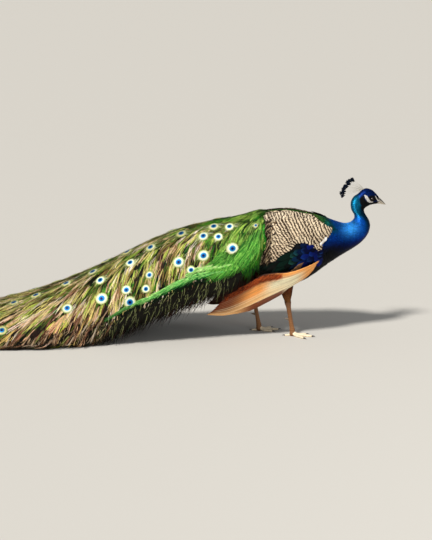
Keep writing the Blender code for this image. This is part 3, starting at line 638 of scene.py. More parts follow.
def thigh_surface(side):
    leg = LEGS[side]
    hock, hip = np.array(leg["hock"]), np.array(leg["hip"])
    top = hock + unit(hip - hock) * 0.0060
    d = unit(top - hip)
    sv = unit(np.cross(np.array([0, 0, 1.0]), d))
    uv = np.cross(d, sv)

    def pos(f, a):
        f, a = np.broadcast_arrays(np.asarray(f, float), np.asarray(a, float))
        c = hip + (top - hip) * f[..., None]
        r = 0.0098 + 0.0280 * np.clip(1 - f, 0, 1) ** 0.85
        return c + sv * (np.cos(a) * r)[..., None] + uv * (np.sin(a) * r)[..., None]

    surf = Surface(pos, 0.01, 0.02, 1)
    p, _, n, _, _ = surf.frame(np.array([0.5]), np.array([0.3]))
    c = hip + (top - hip) * 0.5
    if np.dot(n[0], p[0] - c) < 0:
        surf.sign = -1
    return surf


THIGHS = {side: thigh_surface(side) for side in LEGS}


def plain(name, verts, quads):
    me = bpy.data.meshes.new(name)
    me.from_pydata((np.asarray(verts) + SHIFT).tolist(), [], np.asarray(quads).tolist())
    bm = bmesh.new()
    bm.from_mesh(me)
    ends = [e for e in bm.edges if e.is_boundary]
    bmesh.ops.holes_fill(bm, edges=ends)
    bmesh.ops.recalc_face_normals(bm, faces=bm.faces)
    bm.to_mesh(me)
    bm.free()
    o = bpy.data.objects.new(name, me)
    bpy.context.scene.collection.objects.link(o)
    return o


skin = plain("skin", *body_skin)
for side, surf in THIGHS.items():
    F, A = np.meshgrid(np.linspace(0.0, 1.0, 24), np.arange(28) * TAU / 28, indexing="ij")
    leg_v = surf.pos(F, A)
    c = leg_v.mean(1, keepdims=True)
    leg_v = c + (leg_v - c) * 0.93
    thigh = plain("thigh_tmp_" + side, *capped(leg_v))
    m = skin.modifiers.new("union", "BOOLEAN")
    m.operation, m.solver, m.object = "UNION", "EXACT", thigh
bpy.context.view_layer.update()
merged = bpy.data.meshes.new_from_object(skin.evaluated_get(bpy.context.evaluated_depsgraph_get()))
skin.modifiers.clear()
skin.data = merged
for o in [o for o in bpy.data.objects if o.name.startswith("thigh_tmp_")]:
    bpy.data.objects.remove(o, do_unlink=True)
# Paint it from the station and angle nearest each vertex.
from mathutils.kdtree import KDTree

co = np.zeros(len(merged.vertices) * 3)
merged.vertices.foreach_get("co", co)
co = co.reshape(-1, 3) - SHIFT
flat = skin_v.reshape(-1, 3)
tree = KDTree(len(flat))
for i, p in enumerate(flat):
    tree.insert(p, i)
tree.balance()
near = np.array([tree.find(p)[1:3] for p in co])
idx = near[:, 0].astype(int)
tn, an = TT.reshape(-1)[idx], AA.reshape(-1)[idx]
paint, white = body_colour(tn, an, co)
# The skin shows only between the feathers; its plumage colour darkened to 0.4 is painted shade in those gaps.
paint[:, :3] *= 0.40
paint = mix(paint, rgba(srgb(224, 218, 208), 0.0), white)
on_leg = near[:, 1] > 0.004
paint[on_leg] = rgba(srgb(92, 66, 38), 0.0)
lay = merged.color_attributes.new("Col", "FLOAT_COLOR", "POINT")
lay.data.foreach_set("color", paint.astype(np.float32).ravel())
merged.materials.clear()
merged.materials.append(M_SKIN)
merged.shade_smooth()
bpy.context.view_layer.objects.active = skin
print("skin", len(merged.polygons), "faces")


# ---------------------------------------------------------------- feathers of head, neck and trunk
def body_uv(t, a):
    return np.stack([(a % TAU) / TAU, t / LAST], -1)


def rows(t0, t1, gap, aspect, keep=None, jitter=0.22):
    """Roots in staggered rows on the body, gap apart along it."""
    fine = np.linspace(t0, t1, 900)
    c = (body(fine, 0.0) + body(fine, math.pi)) / 2
    s = np.concatenate([[0], np.cumsum(np.linalg.norm(np.diff(c, axis=0), axis=1))])
    T, A = [], []
    ring = np.linspace(0, TAU, 73)
    for k, d in enumerate(np.arange(0, s[-1], gap)):
        t = np.interp(d, s, fine)
        pts = body(t, ring)
        per = np.concatenate([[0], np.cumsum(np.linalg.norm(np.diff(pts, axis=0), axis=1))])
        n = max(6, int(per[-1] / (gap * aspect)))
        e = (np.arange(n) + 0.5 * (k % 2) + RNG.uniform(-jitter, jitter, n)) / n % 1.0
        A.append(np.interp(e * per[-1], per, ring))
        T.append(np.clip(t + RNG.uniform(-jitter, jitter, n) * gap / max(s[-1], 1e-6) * (t1 - t0), t0, t1))
    T, A = np.concatenate(T), np.concatenate(A)
    if keep is not None:
        ok = keep(T, A)
        T, A = T[ok], A[ok]
    return T, A


def body_coat(coat, T, A, L, W, nu, nv, vary=0.22, mottle=0.2, tip=0.0004, **kw):
    p = body(T, A)
    c, white = body_colour(T, A, p)
    ok = np.ones(len(T), bool)
    r = np.hypot(p[:, 0] - EYE[0], p[:, 2] - EYE[2])
    ok &= ~((r < 0.0086) & (np.abs(p[:, 1]) > 0.006))
    L, W = np.broadcast_to(L, len(ok))[ok], np.broadcast_to(W, len(ok))[ok]
    T, A, p, c = T[ok], A[ok], p[ok], c[ok].copy()
    m = len(T)
    L, W = L * RNG.uniform(0.85, 1.15, m), W * RNG.uniform(0.88, 1.12, m)
    c[:, :3] *= RNG.uniform(1 - vary, 1 + vary, (m, 1)) * (1 + mottle * ripple(p, 330.0))[:, None]
    d = skin_depth(T)
    laid(coat, BODY_S, T, A, L, W, c, body_uv(T, A), nu, nv, base=d - 0.0003, tip=tip, sway=RNG.normal(0, 0.12, m), umax=LAST - 0.05, **kw)


def face_paint(p, c):
    white, black = face_masks(p)
    tone = c[..., :3].mean(-1, keepdims=True)
    c = mix(c, rgba(srgb(4, 6, 10), 0.2), black)
    pale = np.concatenate([srgb(232, 228, 222) * np.clip(0.80 + 1.5 * tone, 0.75, 1.1), 0 * tone], -1)
    return c * (1 - white[..., None]) + pale * white[..., None]


head_coat = Coat()
T, A = rows(0.15, 6.0, 0.0017, 1.2)
size = 0.0030 + 0.0028 * step(0.2, 3.0, T)
body_coat(head_coat, T, A, size, size * 0.60, 5, 3, vary=0.30, tip=0.0003, paint=face_paint, shade=edge_shade(5, 3, 0.6, 1.2, 0.7))
neck_coat = Coat()
T, A = rows(5.4, 16.4, 0.0025, 1.25)
size = 0.0058 + 0.0044 * step(6, 15, T)
body_coat(neck_coat, T, A, size, size * 0.72, 5, 3, vary=0.25, mottle=0.17, tip=0.0004, blunt=0.35, shade=edge_shade(5, 3, 0.74, 1.24, 0.76))


def outside_wing(T, A):
    """Trunk feathers that a folded wing or the train would hide are left out."""
    a = np.degrees(np.minimum(A % TAU, TAU - A % TAU))
    lo = np.interp(T, [17.0, 17.6, 18.8, 23.5], [64, 44, 26, 22])
    hi = np.interp(T, [17.0, 18.6, 19.2, 21.2, 23.45], [56, 76, 112, 114, 116])
    hidden = (T > 17.2) & (T < 23.3) & (a > lo) & (a < hi)
    under_train = (T > 23.2) & (a < 125)
    scapular = (T > 19.3) & (T < 23.0) & (a > 13) & (a < 30)
    return ~(hidden | under_train | scapular)


trunk_coat = Coat()
T, A = rows(18.3, LAST - 0.3, 0.0052, 1.35, keep=outside_wing)
size = 0.0130 + 0.0050 * step(18, 20, T)
body_coat(trunk_coat, T, A, size, size * 0.78, 5, 5, vary=0.34, tip=0.0012, blunt=0.4, shade=edge_shade(5, 5, 0.50, 1.25, 0.45))
# Barred scapulars lie between the green of the back and each folded wing.
scapular_coat = Coat()
T, A = np.meshgrid(np.arange(18.75, 22.5, 0.20), np.radians(np.arange(11.0, 36.0, 4.4)), indexing="ij")
T = T + RNG.normal(0, 0.04, T.shape)
A = A + ((np.round(T / 0.20) % 2) * math.radians(2.2)) + RNG.normal(0, 0.016, A.shape)
T, A = T.ravel(), A.ravel()
ok = np.degrees(A) > np.interp(T, [18.7, 19.4, 20.2, 21.5, 23.0], [30, 22, 13, 10.5, 10.5]) + RNG.normal(0, 1.5, len(T))
T, A = np.tile(T[ok], 2), np.concatenate([A[ok], -A[ok]])
p = body(T, A)
lift = step(14, 27, np.degrees(np.abs(A)))
c = rgba(srgb(236, 216, 186), 0.0, len(T))
c[:, :3] *= RNG.uniform(0.78, 1.08, (len(T), 1))
c = mix(c, rgba(srgb(84, 60, 42), 0.0), step(21.3, 22.4, T) * (RNG.uniform(0, 1, len(T)) > 0.30) * 0.92)
laid(scapular_coat, BODY_S, T, A, 0.031, 0.0185, c, body_uv(T, A), 8, 5, base=0.0005 + 0.0050 * lift, tip=0.0028 + 0.0062 * lift, sway=RNG.normal(0, 0.10, len(T)), umax=22.95,
     along0=0.30 - 0.93 * p[:, 0] - 0.37 * p[:, 2] + RNG.normal(0, 0.0016, len(T)), shade=edge_shade(8, 5, 0.82, 1.06, 0.84))
O_SCAPULAR = scapular_coat.make("scapulars_barred", M_BARRED)
thigh_coat = Coat()
for side, surf in THIGHS.items():
    f, a = RNG.uniform(0.10, 0.99, 2200), RNG.uniform(0, TAU, 2200)
    f = np.concatenate([f, RNG.uniform(0.86, 0.99, 500)])
    a = np.concatenate([a, RNG.uniform(0, TAU, 500)])
    # Reddish brown, paler ochre towards the lower end; the darker upper part is painted shade under the wing.
    c = mix(rgba(srgb(140, 74, 36), 0.0), rgba(srgb(70, 34, 17), 0.0), RNG.uniform(0, 1, len(f)))
    c = mix(c, rgba(srgb(166, 112, 58), 0.0), 0.75 * step(0.55, 0.95, f) * RNG.uniform(0.5, 1, len(f)))
    uv = np.stack([(0.25 if side == "left" else 0.75) + 0.2 * (a / TAU - 0.5), 0.1 + 0.8 * f], -1)
    laid(thigh_coat, surf, f, a, 0.0140 - 0.002 * f, 0.0046 - 0.0014 * f, c, uv, 4, 3, base=-0.0022, tip=0.0016, sway=RNG.normal(0, 0.16, len(f)), umax=1.14, shade=edge_shade(4, 3, 0.6, 1.2, 0.6))

breast_coat = Coat()
T, A = rows(16.2, 18.5, 0.0036, 1.25, keep=outside_wing)
body_coat(breast_coat, T, A, 0.0112, 0.0076, 5, 3, vary=0.34, mottle=0.20, tip=0.0007, blunt=0.35, shade=edge_shade(5, 3, 0.66, 1.22, 0.70))
O_BREAST = breast_coat.make("coat_breast", M_GLOSS)
O_HEAD = head_coat.make("coat_head", M_GLOSS)
O_NECK = neck_coat.make("coat_neck", M_GLOSS)
O_TRUNK = trunk_coat.make("coat_trunk", M_GLOSS)
O_THIGH = thigh_coat.make("coat_thighs", M_STRAND)

# ---------------------------------------------------------------- bill, eyes and lids
T0, B0 = BODY[0, :2], BODY[0, 2:4]
bill_base = np.array([(T0[0] + B0[0]) / 2, 0, (T0[1] + B0[1]) / 2])
bill_up = np.array([T0[0] - B0[0], 0, T0[1] - B0[1]])
half_base = np.linalg.norm(bill_up) / 2
bill_up = bill_up / np.linalg.norm(bill_up)
bill_fwd = np.array([bill_up[2], 0, -bill_up[0]])
BILL_LEN, BILL_DROP, BILL_W = 0.0285, 0.0062, 0.0078


def bill_half(upper):
    n, rings, cols = 28, [], []
    fs = np.linspace(-0.10, 1.0, 34)
    for f in fs:
        g = max(f, 0.0) if upper else 0.90 * max(f, 0.0)
        w = BILL_W * (1 - 0.93 * g ** 1.15) * (1 if upper else 0.86)
        gape = -0.0030 - (BILL_DROP - 0.0026) * g
        if upper:
            top = max(half_base * 0.96 - (half_base * 0.96 + BILL_DROP - 0.0004) * g ** 1.22, gape + 0.0007)
            low = gape - 0.0007 * step(0.90, 1.0, g)
        else:
            top = gape - 0.0003
            low = min(-half_base * 0.93 + (half_base * 0.93 - BILL_DROP - 0.0012) * g ** 0.85, top - 0.0007)
        c, h = (top + low) / 2, (top - low) / 2
        a = np.arange(n) * TAU / n
        y = w * power(np.sin(a), 0.85)
        z = c + h * power(np.cos(a), 0.85 if upper else 0.8)
        if upper:
            y = y * (1 - 0.14 * np.exp(-((f - 0.20) / 0.09) ** 2) * np.exp(-((np.cos(a) - 0.25) / 0.35) ** 2))
        s = 0.0002 + BILL_LEN * (f if f < 0 else g)
        rings.append(bill_base + bill_fwd * s + bill_up * z[:, None] + np.stack([0 * y, y, 0 * y], -1))
        horn = rgba(srgb(182, 172, 154), 0.0, n)
        ridge = step(-0.30, 0.40, np.cos(a)) * (0.92 if upper else 0.0) * (1 - 0.25 * step(0.55, 1.0, f))
        horn = mix(horn, rgba(srgb(58, 54, 54), 0.0), ridge)
        horn = mix(horn, rgba(srgb(96, 90, 86), 0.0), 0.6 * (1 - step(-0.05, 0.16, f)) * np.ones(n))
        nostril = np.exp(-((f - 0.21) / 0.06) ** 2) * np.exp(-((np.cos(a) - 0.25) / 0.22) ** 2) * (1.0 if upper else 0.0)
        horn = mix(horn, rgba(srgb(24, 20, 20), 0.0), np.clip(nostril * 1.5, 0, 1))
        cols.append(horn)
    v, q = capped(np.array(rings))
    cols = np.array(cols)
    cols = np.concatenate([cols[:1], cols, cols[-1:]])
    return v, q, cols


O_BILL_U = build("bill_top", *(lambda r: (r[0], r[1], M_HORN, r[2]))(bill_half(True)))
O_BILL_L = build("bill_bottom", *(lambda r: (r[0], r[1], M_HORN, r[2]))(bill_half(False)))

for side, s in (("right", -1), ("left", 1)):
    nu, nv = 40, 48
    th, ph = np.linspace(0.001, math.pi - 0.001, nu), np.arange(nv) * TAU / nv
    TH, PH = np.meshgrid(th, ph, indexing="ij")
    bulge = 1 + 0.035 * np.exp(-(TH / 0.55) ** 2)
    v = np.stack([np.sin(TH) * np.cos(PH) * EYE_R, s * np.cos(TH) * EYE_R * bulge, np.sin(TH) * np.sin(PH) * EYE_R], -1)
    c = mix(rgba(srgb(52, 26, 14), 1.0), rgba(srgb(22, 10, 6), 1.0), step(0.50, 0.85, TH))
    c = mix(rgba(srgb(3, 3, 4), 1.0), c, step(0.40, 0.46, TH))
    c = mix(c, rgba(srgb(6, 5, 6), 1.0), step(0.80, 0.95, TH))
    build("eyeball_" + side, v + EYE * np.array([1, s, 1]), grid_quads(nu, nv, True), M_EYE, c)

# Lids: a ring of bare dark skin from the eyeball out to the face.
grid_t, grid_a = np.meshgrid(np.linspace(0.1, 5.2, 170), np.linspace(0.05, math.pi - 0.05, 170), indexing="ij")
face_pts = body(grid_t, grid_a, skin_depth(grid_t)).reshape(-1, 3)
face_tree = KDTree(len(face_pts))
for i, p in enumerate(face_pts):
    face_tree.insert((p[0], 0, p[2]), i)
face_tree.balance()


def face_y(x, z):
    found = face_tree.find_n((x, 0, z), 4)
    w = np.array([1 / (d + 1e-5) for _, _, d in found])
    return float((face_pts[[i for _, i, _ in found], 1] * w).sum() / w.sum())


LIDS = []
for side, s in (("right", -1), ("left", 1)):
    nv = 56
    ph = np.arange(nv) * TAU / nv
    rings, cols = [], []
    for k, (r, rise, on_ball) in enumerate(((0.0046, -0.0012, 1), (0.0049, 0.00035, 1), (0.0054, 0.00075, 1), (0.0060, 0.0006, 0.6), (0.0068, 0.0005, 0.25), (0.0078, 0.0002, 0), (0.0090, -0.0005, 0))):
        almond = 1 - 0.10 * np.abs(np.sin(ph)) ** 1.5
        x = EYE[0] + r * np.cos(ph) * (1.04 if k < 4 else 1.0)
        z = EYE[2] + r * np.sin(ph) * almond + 0.0008 * np.cos(ph) * (-1)
        ball = EYE[1] + np.sqrt(np.maximum(EYE_R ** 2 - (x - EYE[0]) ** 2 - (z - EYE[2]) ** 2, 0)) + rise
        face = np.array([face_y(a, b) for a, b in zip(x, z)]) + rise
        y = ball * on_ball + face * (1 - on_ball)
        rings.append(np.stack([x, s * y, z], -1))
        cols.append(rgba(srgb(14, 15, 20), 0.2, nv) * (1.0 if k != 2 else np.array([1.3, 1.3, 1.3, 1.0])))
    LIDS.append((np.array(rings), grid_quads(7, nv, True), np.array(cols)))
lv, lf = join([(v, f) for v, f, _ in LIDS])
O_LIDS = build("lids", lv, lf, M_SKIN, np.concatenate([c.reshape(-1, 4) for _, _, c in LIDS]))

# ---------------------------------------------------------------- crest: bare shafts with a small fan at each tip
crest = Coat()
plumes = 20
k = np.linspace(0, 1, plumes)
tb = 3.38 + 0.72 * k
base = body(tb, RNG.uniform(-0.16, 0.16, plumes)) + np.array([0, 0, -0.001])
deg = np.radians(140 + 52 * k + RNG.normal(0, 1.6, plumes))
length = (0.058 + 0.016 * k) * RNG.uniform(0.88, 1.02, plumes) - 0.006
yaw = RNG.normal(0, 0.010, plumes)
dirs = np.stack([np.cos(deg), yaw, np.sin(deg)], -1)
u = np.linspace(0, 1, 8)
paths = base[:, None] + dirs[:, None] * (length[:, None] * u)[..., None]
paths[..., 2] += 0.0022 * np.sin(u * math.pi)[None]
paths[..., 1] = np.clip(paths[..., 1], -0.0042, 0.0042)
uvs = np.stack([0.5 + 0 * k, 0.2 + 0.6 * k], -1)
for nrm in (np.array([0, 1.0, 0]), np.array([0.6, 0, 0.8])):
    ribbons(crest, paths, np.broadcast_to(nrm, paths.shape), 0.00055, np.broadcast_to(rgba(srgb(188, 182, 168), 0.0), (plumes, 8, 4)).copy(), uvs)
tips = paths[:, -1]
for j in range(15):
    f = (j - 7) / 7
    ang = deg + f * 0.60
    start = tips - dirs * (0.0062 * (1 - 0.6 * abs(f)))
    ln = 0.0172 * (1 - 0.30 * abs(f)) * RNG.uniform(0.86, 1.04, plumes)
    dd = np.stack([np.cos(ang), 0.16 * np.sin(j * 2.1 + k * 40), np.sin(ang)], -1)
    pp = start[:, None] + dd[:, None] * (ln[:, None] * np.linspace(0, 1, 5))[..., None]
    pp[..., 1] = np.clip(pp[..., 1], -0.0056, 0.0056)
    cc = np.tile(mix(rgba(srgb(5, 6, 12), 0.4), rgba(srgb(6, 20, 40), 0.6), np.linspace(0, 1, 5))[None], (plumes, 1, 1))
    cc[..., :3] *= RNG.uniform(0.6, 1.3, (plumes, 1, 1))
    ribbons(crest, pp, np.broadcast_to(np.array([0, 1.0, 0]), pp.shape), 0.0032, cc, uvs)
O_CREST = crest.make("crest_plumes", M_GLOSS)


def BEND_LINE(x):
    """Height of the barred feathers' lower edge near the wing's bend."""
    return np.interp(x, [0.040, 0.062, 0.101, 0.125, 0.141], [0.333, 0.332, 0.320, 0.328, 0.345])


for side, s in (("right", -1), ("left", 1)):
    shield = wing_surface(SHIELD_TOP, SHIELD_LOW, side, 0.0105, 0.45)
    U, V = np.meshgrid(np.linspace(0, 1, 60), np.linspace(0, 1, 34), indexing="ij")
    top = shield.pos(U, V)
    _, _, nn, _, _ = shield.frame(U, V)
    under = top - nn * 0.003
    base_v = np.concatenate([top.reshape(-1, 3), under.reshape(-1, 3)])
    gq = grid_quads(60, 34)
    vane = np.stack([V * 14, (0.15 - top[..., 0]) * 100], -1).reshape(-1, 2)
    uv = np.stack([U, V], -1).reshape(-1, 2)
    cb = np.tile(BUFF * np.array([0.8, 0.8, 0.8, 1]), (len(base_v), 1))
    under_obj = build("wing_" + side + "_bed", base_v, np.concatenate([gq, gq[:, ::-1] + len(base_v) // 2]), M_BARRED, cb, {"Vane": np.concatenate([vane, vane])})
    coat = Coat()
    # Barred feathers, front to rear.
    gu, gv = np.meshgrid((np.arange(25) + 0.2) / 25.5, (np.arange(15) + 0.5) / 15, indexing="ij")
    gu, gv = gu.ravel(), gv.ravel()
    gv = np.clip(gv + (np.round(gu * 25.5 - 0.2) % 2) * 0.5 / 15 + RNG.normal(0, 0.008, len(gu)), 0.015, 0.985)
    gu = np.clip(gu + RNG.normal(0, 0.006, len(gu)), 0.0, 0.96)
    p, d, n, lu, lv = shield.frame(gu, gv)
    keep = ~((p[:, 0] > 0.060) & (p[:, 2] < BEND_LINE(p[:, 0]) + 0.006))
    gu, gv, p, d, n, lu, lv = gu[keep], gv[keep], p[keep], d[keep], n[keep], lu[keep], lv[keep]
    room = (1.0 - gu) * lu
    L = np.minimum(0.034, 0.016 + room)
    tone = RNG.uniform(0.82, 1.14, len(gu))
    c = mix(BUFF * np.array([1.22, 1.20, 1.18, 1]), rgba(srgb(206, 176, 146), 0.0), step(0.55, 1.0, gv) * 0.4)
    c[:, :3] *= tone[:, None]
    d = unit(d + np.array([0, 0, -0.52]))
    vanes(coat, p - n * 0.0005, d, n, L, 0.0200, c, np.stack([gu, gv], -1), 9, 5, lift=0.10, bend=0.05, cup=0.16,
          along0=0.30 - 0.86 * p[:, 0] - 0.51 * p[:, 2] + RNG.normal(0, 0.0009, len(gu)), shade=edge_shade(9, 5, 0.80, 1.06, 0.86))
    bars = coat.make("wing_" + side + "_barred", M_BARRED)

    # White tuft at the bend, brown loose barbs behind, and the green edge above.
    soft = Coat()
    m = 240
    f0 = RNG.uniform(0, 1, m)
    p, d, n, _, _ = shield.frame(0.075 + 0.075 * f0, 0.95 + 0 * f0)
    p = p + np.array([-0.006, 0, -0.016]) + np.array([-0.017, 0, -0.017]) * RNG.uniform(0, 1, (m, 1)) + n * (0.0060 + 0.0040 * RNG.uniform(0, 1, m))[:, None]
    c = mix(rgba(srgb(246, 243, 238), 0.0), rgba(srgb(196, 182, 164), 0.0), RNG.uniform(0, 1, m) ** 2)
    vanes(soft, p, np.tile(np.array([-0.60, 0.0, -0.80]), (m, 1)) + RNG.normal(0, 0.20, (m, 3)), n, 0.0135, 0.0044, c, np.stack([0.05 + 0 * f0, 0.97 + 0 * f0], -1), 5, 3, lift=0.06, bend=0.06)
    # Loose brown and pale tips where the barred feathers end.
    m = 420
    v0 = RNG.uniform(0.0, 1.0, m) ** 1.7
    u0 = 0.985 - np.abs(RNG.normal(0, 0.070, m)) * (0.35 + 0.75 * (1 - v0))
    u0 = np.clip(u0, 0.74, 0.99)
    p, d, n, _, _ = shield.frame(u0, v0)
    pick = RNG.uniform(0, 1, m)
    c = mix(rgba(srgb(34, 24, 18), 0.1), rgba(srgb(92, 66, 42), 0.0), (pick > 0.5) * 1.0)
    c = mix(c, rgba(srgb(214, 194, 160), 0.0), (pick > 0.80 - 0.45 * step(0.3, 0.7, v0)) * 1.0)
    c[:, :3] *= RNG.uniform(0.7, 1.25, (m, 1))
    dd = unit(d + np.array([0, 0, -0.45]) + RNG.normal(0, 0.28, (m, 3)))
    vanes(soft, p + n * 0.0022, dd, n, RNG.uniform(0.012, 0.024, m), RNG.uniform(0.0035, 0.0085, m), c, np.stack([u0, v0], -1), 5, 3, lift=0.14, bend=0.10, frayed=0.05, shade=edge_shade(5, 3, 0.6, 1.15, 0.7))
    m = 500
    v0 = RNG.uniform(0.02, 1.0, m)
    u0 = 0.985 - RNG.uniform(0, 0.08, m)
    p, d, n, _, _ = shield.frame(u0, v0)
    c = mix(rgba(srgb(38, 26, 18), 0.1), rgba(srgb(170, 146, 112), 0.0), (RNG.uniform(0, 1, m) > 0.75) * 1.0)
    c[:, :3] *= RNG.uniform(0.6, 1.3, (m, 1))
    dd = unit(d * 0.85 + np.array([0, 0, -0.55]) + RNG.normal(0, 0.26, (m, 3)))
    uu = np.linspace(0, 1, 5)
    ln = RNG.uniform(0.012, 0.025, m)
    path = p[:, None] + n[:, None] * (0.0022 + 0.0045 * np.sin(uu * 2.6))[None, :, None] + dd[:, None] * (ln[:, None] * uu)[..., None] + np.array([0, 0, -0.006]) * (uu ** 2)[None, :, None]
    ribbons(soft, path, np.broadcast_to(n[:, None], path.shape), RNG.uniform(0.0010, 0.0020, m), np.broadcast_to(c[:, None], (m, 5, 4)).copy(), np.stack([u0, v0], -1))
    loose = soft.make("wing_" + side + "_soft", M_STRAND)

    # Green scales of the mantle lie over the wing's upper edge.
    gu, gv = np.meshgrid(np.arange(0.02, 0.93, 0.028), np.arange(-0.03, 0.46, 0.030), indexing="ij")
    gu = gu + RNG.normal(0, 0.005, gu.shape)
    gv = gv + ((np.round(gu / 0.028) % 2) * 0.015) + RNG.normal(0, 0.006, gv.shape)
    edge = np.interp(gu, [-0.03, 0.10, 0.25, 0.36, 0.44, 0.90], [0.34, 0.27, 0.15, 0.02, -0.12, -0.2])
    keep = gv < edge + RNG.normal(0, 0.020, gv.shape)
    gu, gv = gu[keep], gv[keep]
    p = shield.pos(gu, gv)
    c = mix(rgba(srgb(22, 96, 52), 0.8), rgba(srgb(96, 128, 34), 0.65), step(0.05, 0.5, gu))
    c = mix(c, rgba(srgb(4, 84, 110), 0.9), (1 - step(-0.02, 0.10, gu)) * 0.8)
    c[:, :3] *= RNG.uniform(0.55, 1.35, (len(c), 1))
    mantle = Coat()
    laid(mantle, shield, gu, gv, 0.0195, 0.0150, c, vclip=0.05, root_uv=np.stack([gu, gv], -1), nu=6, nv=5, base=0.0018, tip=0.0046, sway=RNG.normal(0.0, 0.10, len(gu)), umax=0.99, shade=edge_shade(6, 5, 0.40, 1.25, 0.34))
    mantle_obj = mantle.make("mantle_" + side, M_GLOSS)

    # Blue coverts over the flight feathers, darker and greener towards the rear.
    cov = wing_surface(COVERT_TOP, COVERT_LOW, side, 0.0080, 0.35)
    U, V = np.meshgrid(np.linspace(0, 1, 40), np.linspace(0, 1, 14), indexing="ij")
    top = cov.pos(U, V)
    _, _, nn, _, _ = cov.frame(U, V)
    both = np.concatenate([top.reshape(-1, 3), (top - nn * 0.0025).reshape(-1, 3)])
    gq = grid_quads(40, 14)
    cov_bed = build("wing_" + side + "_covert_bed", both, np.concatenate([gq, gq[:, ::-1] + len(both) // 2]), M_STRAND, rgba(srgb(10, 14, 20), 0.2, len(both)))
    blue = Coat()
    for v0, count, ln, wd, u_start, u_end, out in ((0.80, 9, 0.070, 0.0270, 0.10, 0.66, 0.0006), (0.55, 10, 0.060, 0.0250, 0.06, 0.64, 0.0022), (0.36, 9, 0.046, 0.0220, 0.03, 0.46, 0.0038), (0.20, 8, 0.032, 0.0190, 0.01, 0.34, 0.0050)):
        uu = np.linspace(u_start, u_end, count) + RNG.normal(0, 0.006, count)
        ln = ln * (0.58 + 0.42 * step(0.02, 0.26, uu))
        vv = np.full(count, v0) + RNG.normal(0, 0.015, count)
        p, d, n, _, _ = cov.frame(uu, vv)
        f = uu / 0.7
        c = mix(rgba(srgb(2, 14, 72), 0.85), rgba(srgb(2, 28, 44), 0.75), step(0.35, 0.62, f))
        c = mix(c, rgba(srgb(8, 26, 20), 0.7), step(0.52, 0.80, f))
        c[:, :3] *= 0.25 + 2.1 * RNG.uniform(0, 1, (count, 1)) ** 1.6
        col = np.broadcast_to(c[:, None, None], (count, 12, 7, 4)).copy()
        # Lighter blue and teal towards the tips of about half the larger coverts, stronger on one side of each vane:
        # painted highlights.
        painted_highlight = (step(0.35, 0.9, np.linspace(0, 1, 12))[None, :, None] * (RNG.uniform(0, 1, count) > 0.50)[:, None, None]) * np.ones((1, 1, 7)) * (v0 > 0.3)
        sheen = mix(rgba(srgb(36, 92, 190), 0.8), rgba(srgb(60, 150, 130), 0.8), step(0.40, 0.65, f))
        col = mix(col, sheen[:, None, None], painted_highlight * 0.58 * (0.3 + 0.7 * np.clip(np.linspace(-1, 1, 7) * -s, 0, 1))[None, None, :])
        d = unit(d + np.array([0, 0, -0.10 - 0.10 * (v0 < 0.3)]))
        vanes(blue, p + n * out, d, n, ln * RNG.uniform(0.92, 1.06, count), wd, col, np.stack([uu, vv], -1), 12, 7, lift=0.03, bend=0.03, cup=0.12, blunt=0.78, waist=0.6, along0=RNG.uniform(0, 3, count), shade=edge_shade(12, 7, 0.75, 1.12, 0.50))
    # Small blue feathers close the corner under the bend.
    gu, gv = np.meshgrid(np.arange(0.02, 0.44, 0.020), np.arange(0.60, 0.99, 0.045), indexing="ij")
    gu = gu.ravel() + RNG.normal(0, 0.004, gu.size)
    gv = np.clip(gv.ravel() + RNG.normal(0, 0.010, gv.size), 0, 0.99)
    p, d, n, _, _ = shield.frame(gu, gv)
    keep = (p[:, 0] > 0.046) & (p[:, 2] < BEND_LINE(p[:, 0]) + 0.001)
    gu, gv, p, d, n = gu[keep], gv[keep], p[keep], d[keep], n[keep]
    m = len(gu)
    c = mix(rgba(srgb(2, 14, 72), 0.85), rgba(srgb(2, 30, 52), 0.75), RNG.uniform(0, 1, m) ** 2)
    c[:, :3] *= 0.25 + 2.0 * RNG.uniform(0, 1, (m, 1)) ** 1.6
    vanes(blue, p + n * 0.0042, unit(d + np.array([0, 0, -0.26])), n, RNG.uniform(0.026, 0.036, m), 0.0140, c, np.stack([gu, gv], -1), 9, 5, lift=0.05, bend=0.08, cup=0.14, blunt=0.6, along0=RNG.uniform(0, 3, m), shade=edge_shade(9, 5, 0.70, 1.15, 0.50))
    # Barred lesser coverts lie over the blue ones.
    low = Coat()
    gu, gv = np.meshgrid((np.arange(18) + 0.2) / 18 * 0.74, np.array([-0.10, -0.02, 0.06, 0.13]), indexing="ij")
    gu = gu + RNG.normal(0, 0.007, gu.shape) + 0.010 * (np.arange(4) % 2)[None]
    gv = gv + RNG.normal(0, 0.012, gv.shape) - 0.10 * step(0.55, 0.75, gu) * (gv > 0)
    gu, gv = np.clip(gu.ravel(), 0.0, 0.95), gv.ravel()
    keep = gv < np.interp(gu, [0.0, 0.10, 0.30, 0.42, 0.55, 0.80], [0.10, 0.13, 0.06, 0.0, -0.06, -0.12])
    gu, gv = gu[keep], gv[keep]
    p, d, n, _, _ = cov.frame(gu, gv)
    keep = ~((p[:, 0] > 0.056) & (p[:, 2] < BEND_LINE(p[:, 0]) + 0.010))
    gu, gv, p, d, n = gu[keep], gv[keep], p[keep], d[keep], n[keep]
    c = mix(BUFF * np.array([1.20, 1.18, 1.16, 1]), rgba(srgb(190, 152, 116), 0.0), step(0.0, 0.12, gv) * 0.5)
    c[:, :3] *= RNG.uniform(0.78, 1.12, (len(gu), 1))
    vanes(low, p + n * (0.0052 + 0.0010 * RNG.uniform(0, 1, len(gu)))[:, None], unit(d + np.array([0, 0, -0.50])), n, 0.024, 0.0165, c, np.stack([gu, 0.5 + gv], -1), 9, 5, lift=0.05, bend=0.06, cup=0.14,
          along0=0.30 - 0.86 * p[:, 0] - 0.51 * p[:, 2] + RNG.normal(0, 0.0009, len(gu)), shade=edge_shade(9, 5, 0.80, 1.06, 0.84))
